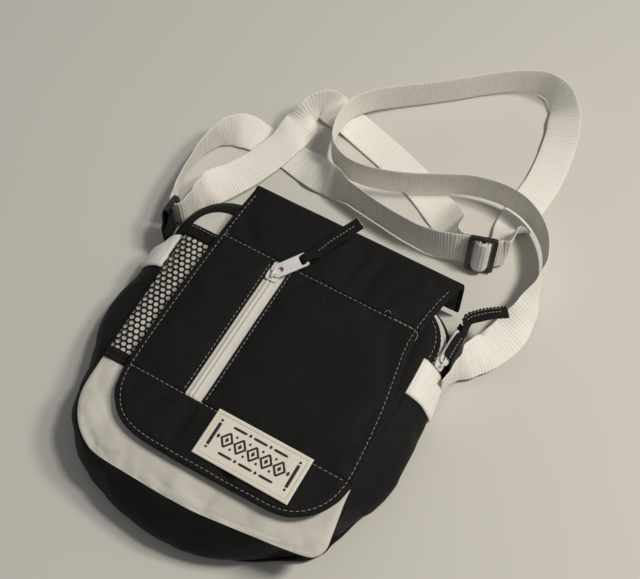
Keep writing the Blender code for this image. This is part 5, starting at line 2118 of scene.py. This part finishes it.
def build_side_ring():
    # the ring's own x, y and z point along the bag's y, z and x
    turn = Matrix(((0, 0, 1, 0), (1, 0, 0, 0), (0, 1, 0, 0), (0, 0, 0, 1)))
    place = Matrix.Translation((-118.0, 73.5, RING_Z)) @ turn
    outer = rounded(-1.5, -15.5, 12.5, 15.5, 2.4)
    holes = [rounded(1.5, -12.9, 9.5, 12.9, 1.5, 4)]
    part = plate("side_ring_loop", outer, -1.5, 1.5, PLASTIC, place, holes, soft=0.75)
    register(part, "black_plastic", "strap_ring", body="ring")

    stations = [(x, y, RING_Z, 0, 0, 1, 23.0) for x, y in RING_HOLDER]
    part = band("ring_holder_loop", stations, 1.1, TRIM, rib=0.07)
    register(part, "black_cloth", "ring_tab")


# ---------------------------------------------------------------- build

build_front()
build_lower_wall()
build_upper_walls()
build_main_zip_way()
build_back()
build_side_bands()
build_net()
build_pocket_bands()
build_edge_binding()
build_pocket_stitches()
cover = build_flap_cover()
lining = build_flap_lining()
build_flap_stitches(surface_of(cover))
build_flap_zip_tapes()
label_face = build_label_cloth()
build_label_border(label_face)
build_embroidery(label_face)
build_flap_zip()
build_main_zip()
build_strap()
build_side_ring()
for soft_part in (cover, lining):
    bake(soft_part)
    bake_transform(soft_part)

# ---------------------------------------------------------------- stage (in metres from here)


def build_floor():
    reach, cells = 4000.0, 24  # half size in millimetres, squares along a side
    ticks = [-reach + 2 * reach * i / cells for i in range(cells + 1)]
    floor = sheet("floor", [[(x, y, 0.0) for x in ticks] for y in ticks], make_floor())
    floor.location.z = -0.0002


def build_world():
    """Soft light from all round, with a plain backdrop where the camera sees past the floor."""
    world = bpy.data.worlds.new("studio")
    world.use_nodes = True
    nodes, links = world.node_tree.nodes, world.node_tree.links
    soft = nodes["Background"]
    soft.inputs["Color"].default_value = (0.97, 0.98, 1.0, 1)
    soft.inputs["Strength"].default_value = 0.22
    seen = nodes.new("ShaderNodeBackground")
    seen.inputs["Color"].default_value = (0.47, 0.455, 0.42, 1)
    seen.inputs["Strength"].default_value = 1.0
    path = nodes.new("ShaderNodeLightPath")
    both = nodes.new("ShaderNodeMixShader")
    links.new(path.outputs["Is Camera Ray"], both.inputs[0])
    links.new(soft.outputs[0], both.inputs[1])
    links.new(seen.outputs[0], both.inputs[2])
    links.new(both.outputs[0], nodes["World Output"].inputs[0])
    bpy.context.scene.world = world


def lamp(name, kind, facing, energy, color, **shape):
    data = bpy.data.lights.new(name, kind)
    for key, value in dict(shape, energy=energy, color=color).items():
        setattr(data, key, value)
    light = add_object(name, data)
    light.rotation_mode = "QUATERNION"
    light.rotation_quaternion = facing.to_track_quat("-Z", "Y")
    return light


def build_lights():
    place, target = Vector((0.56, 0.36, 0.86)), Vector((0.05, 0.0, 0.0))
    key = lamp(
        "key", "AREA", target - place, energy=4.6, color=(1.0, 0.935, 0.83),
        shape="DISK", size=0.20,
    )
    key.location = place
    lamp(
        "window", "SUN", -Vector((0.50, 0.34, 1.0)), energy=1.13, color=(1.0, 0.955, 0.88),
        angle=math.radians(8.0),
    )


def build_camera():
    heading, tilt = math.radians(29.8), math.radians(28.6)  # turn about z, lean from straight down
    right = Vector((math.cos(heading), math.sin(heading), 0))
    level = Vector((-math.sin(heading), math.cos(heading), 0))
    forward = level * math.sin(tilt) + Vector((0, 0, -1)) * math.cos(tilt)
    data = bpy.data.cameras.new("camera")
    data.sensor_fit = "HORIZONTAL"
    data.sensor_width = 36.0
    data.lens = 61.875
    camera = add_object("camera", data)
    turn = Matrix((right, right.cross(forward), -forward)).transposed()
    camera.matrix_world = Matrix.Translation((0.1759, -0.2293, 0.665)) @ turn.to_4x4()
    bpy.context.scene.camera = camera


build_floor()
build_world()
build_lights()
bpy.context.scene.view_settings.view_transform = "Standard"
build_camera()
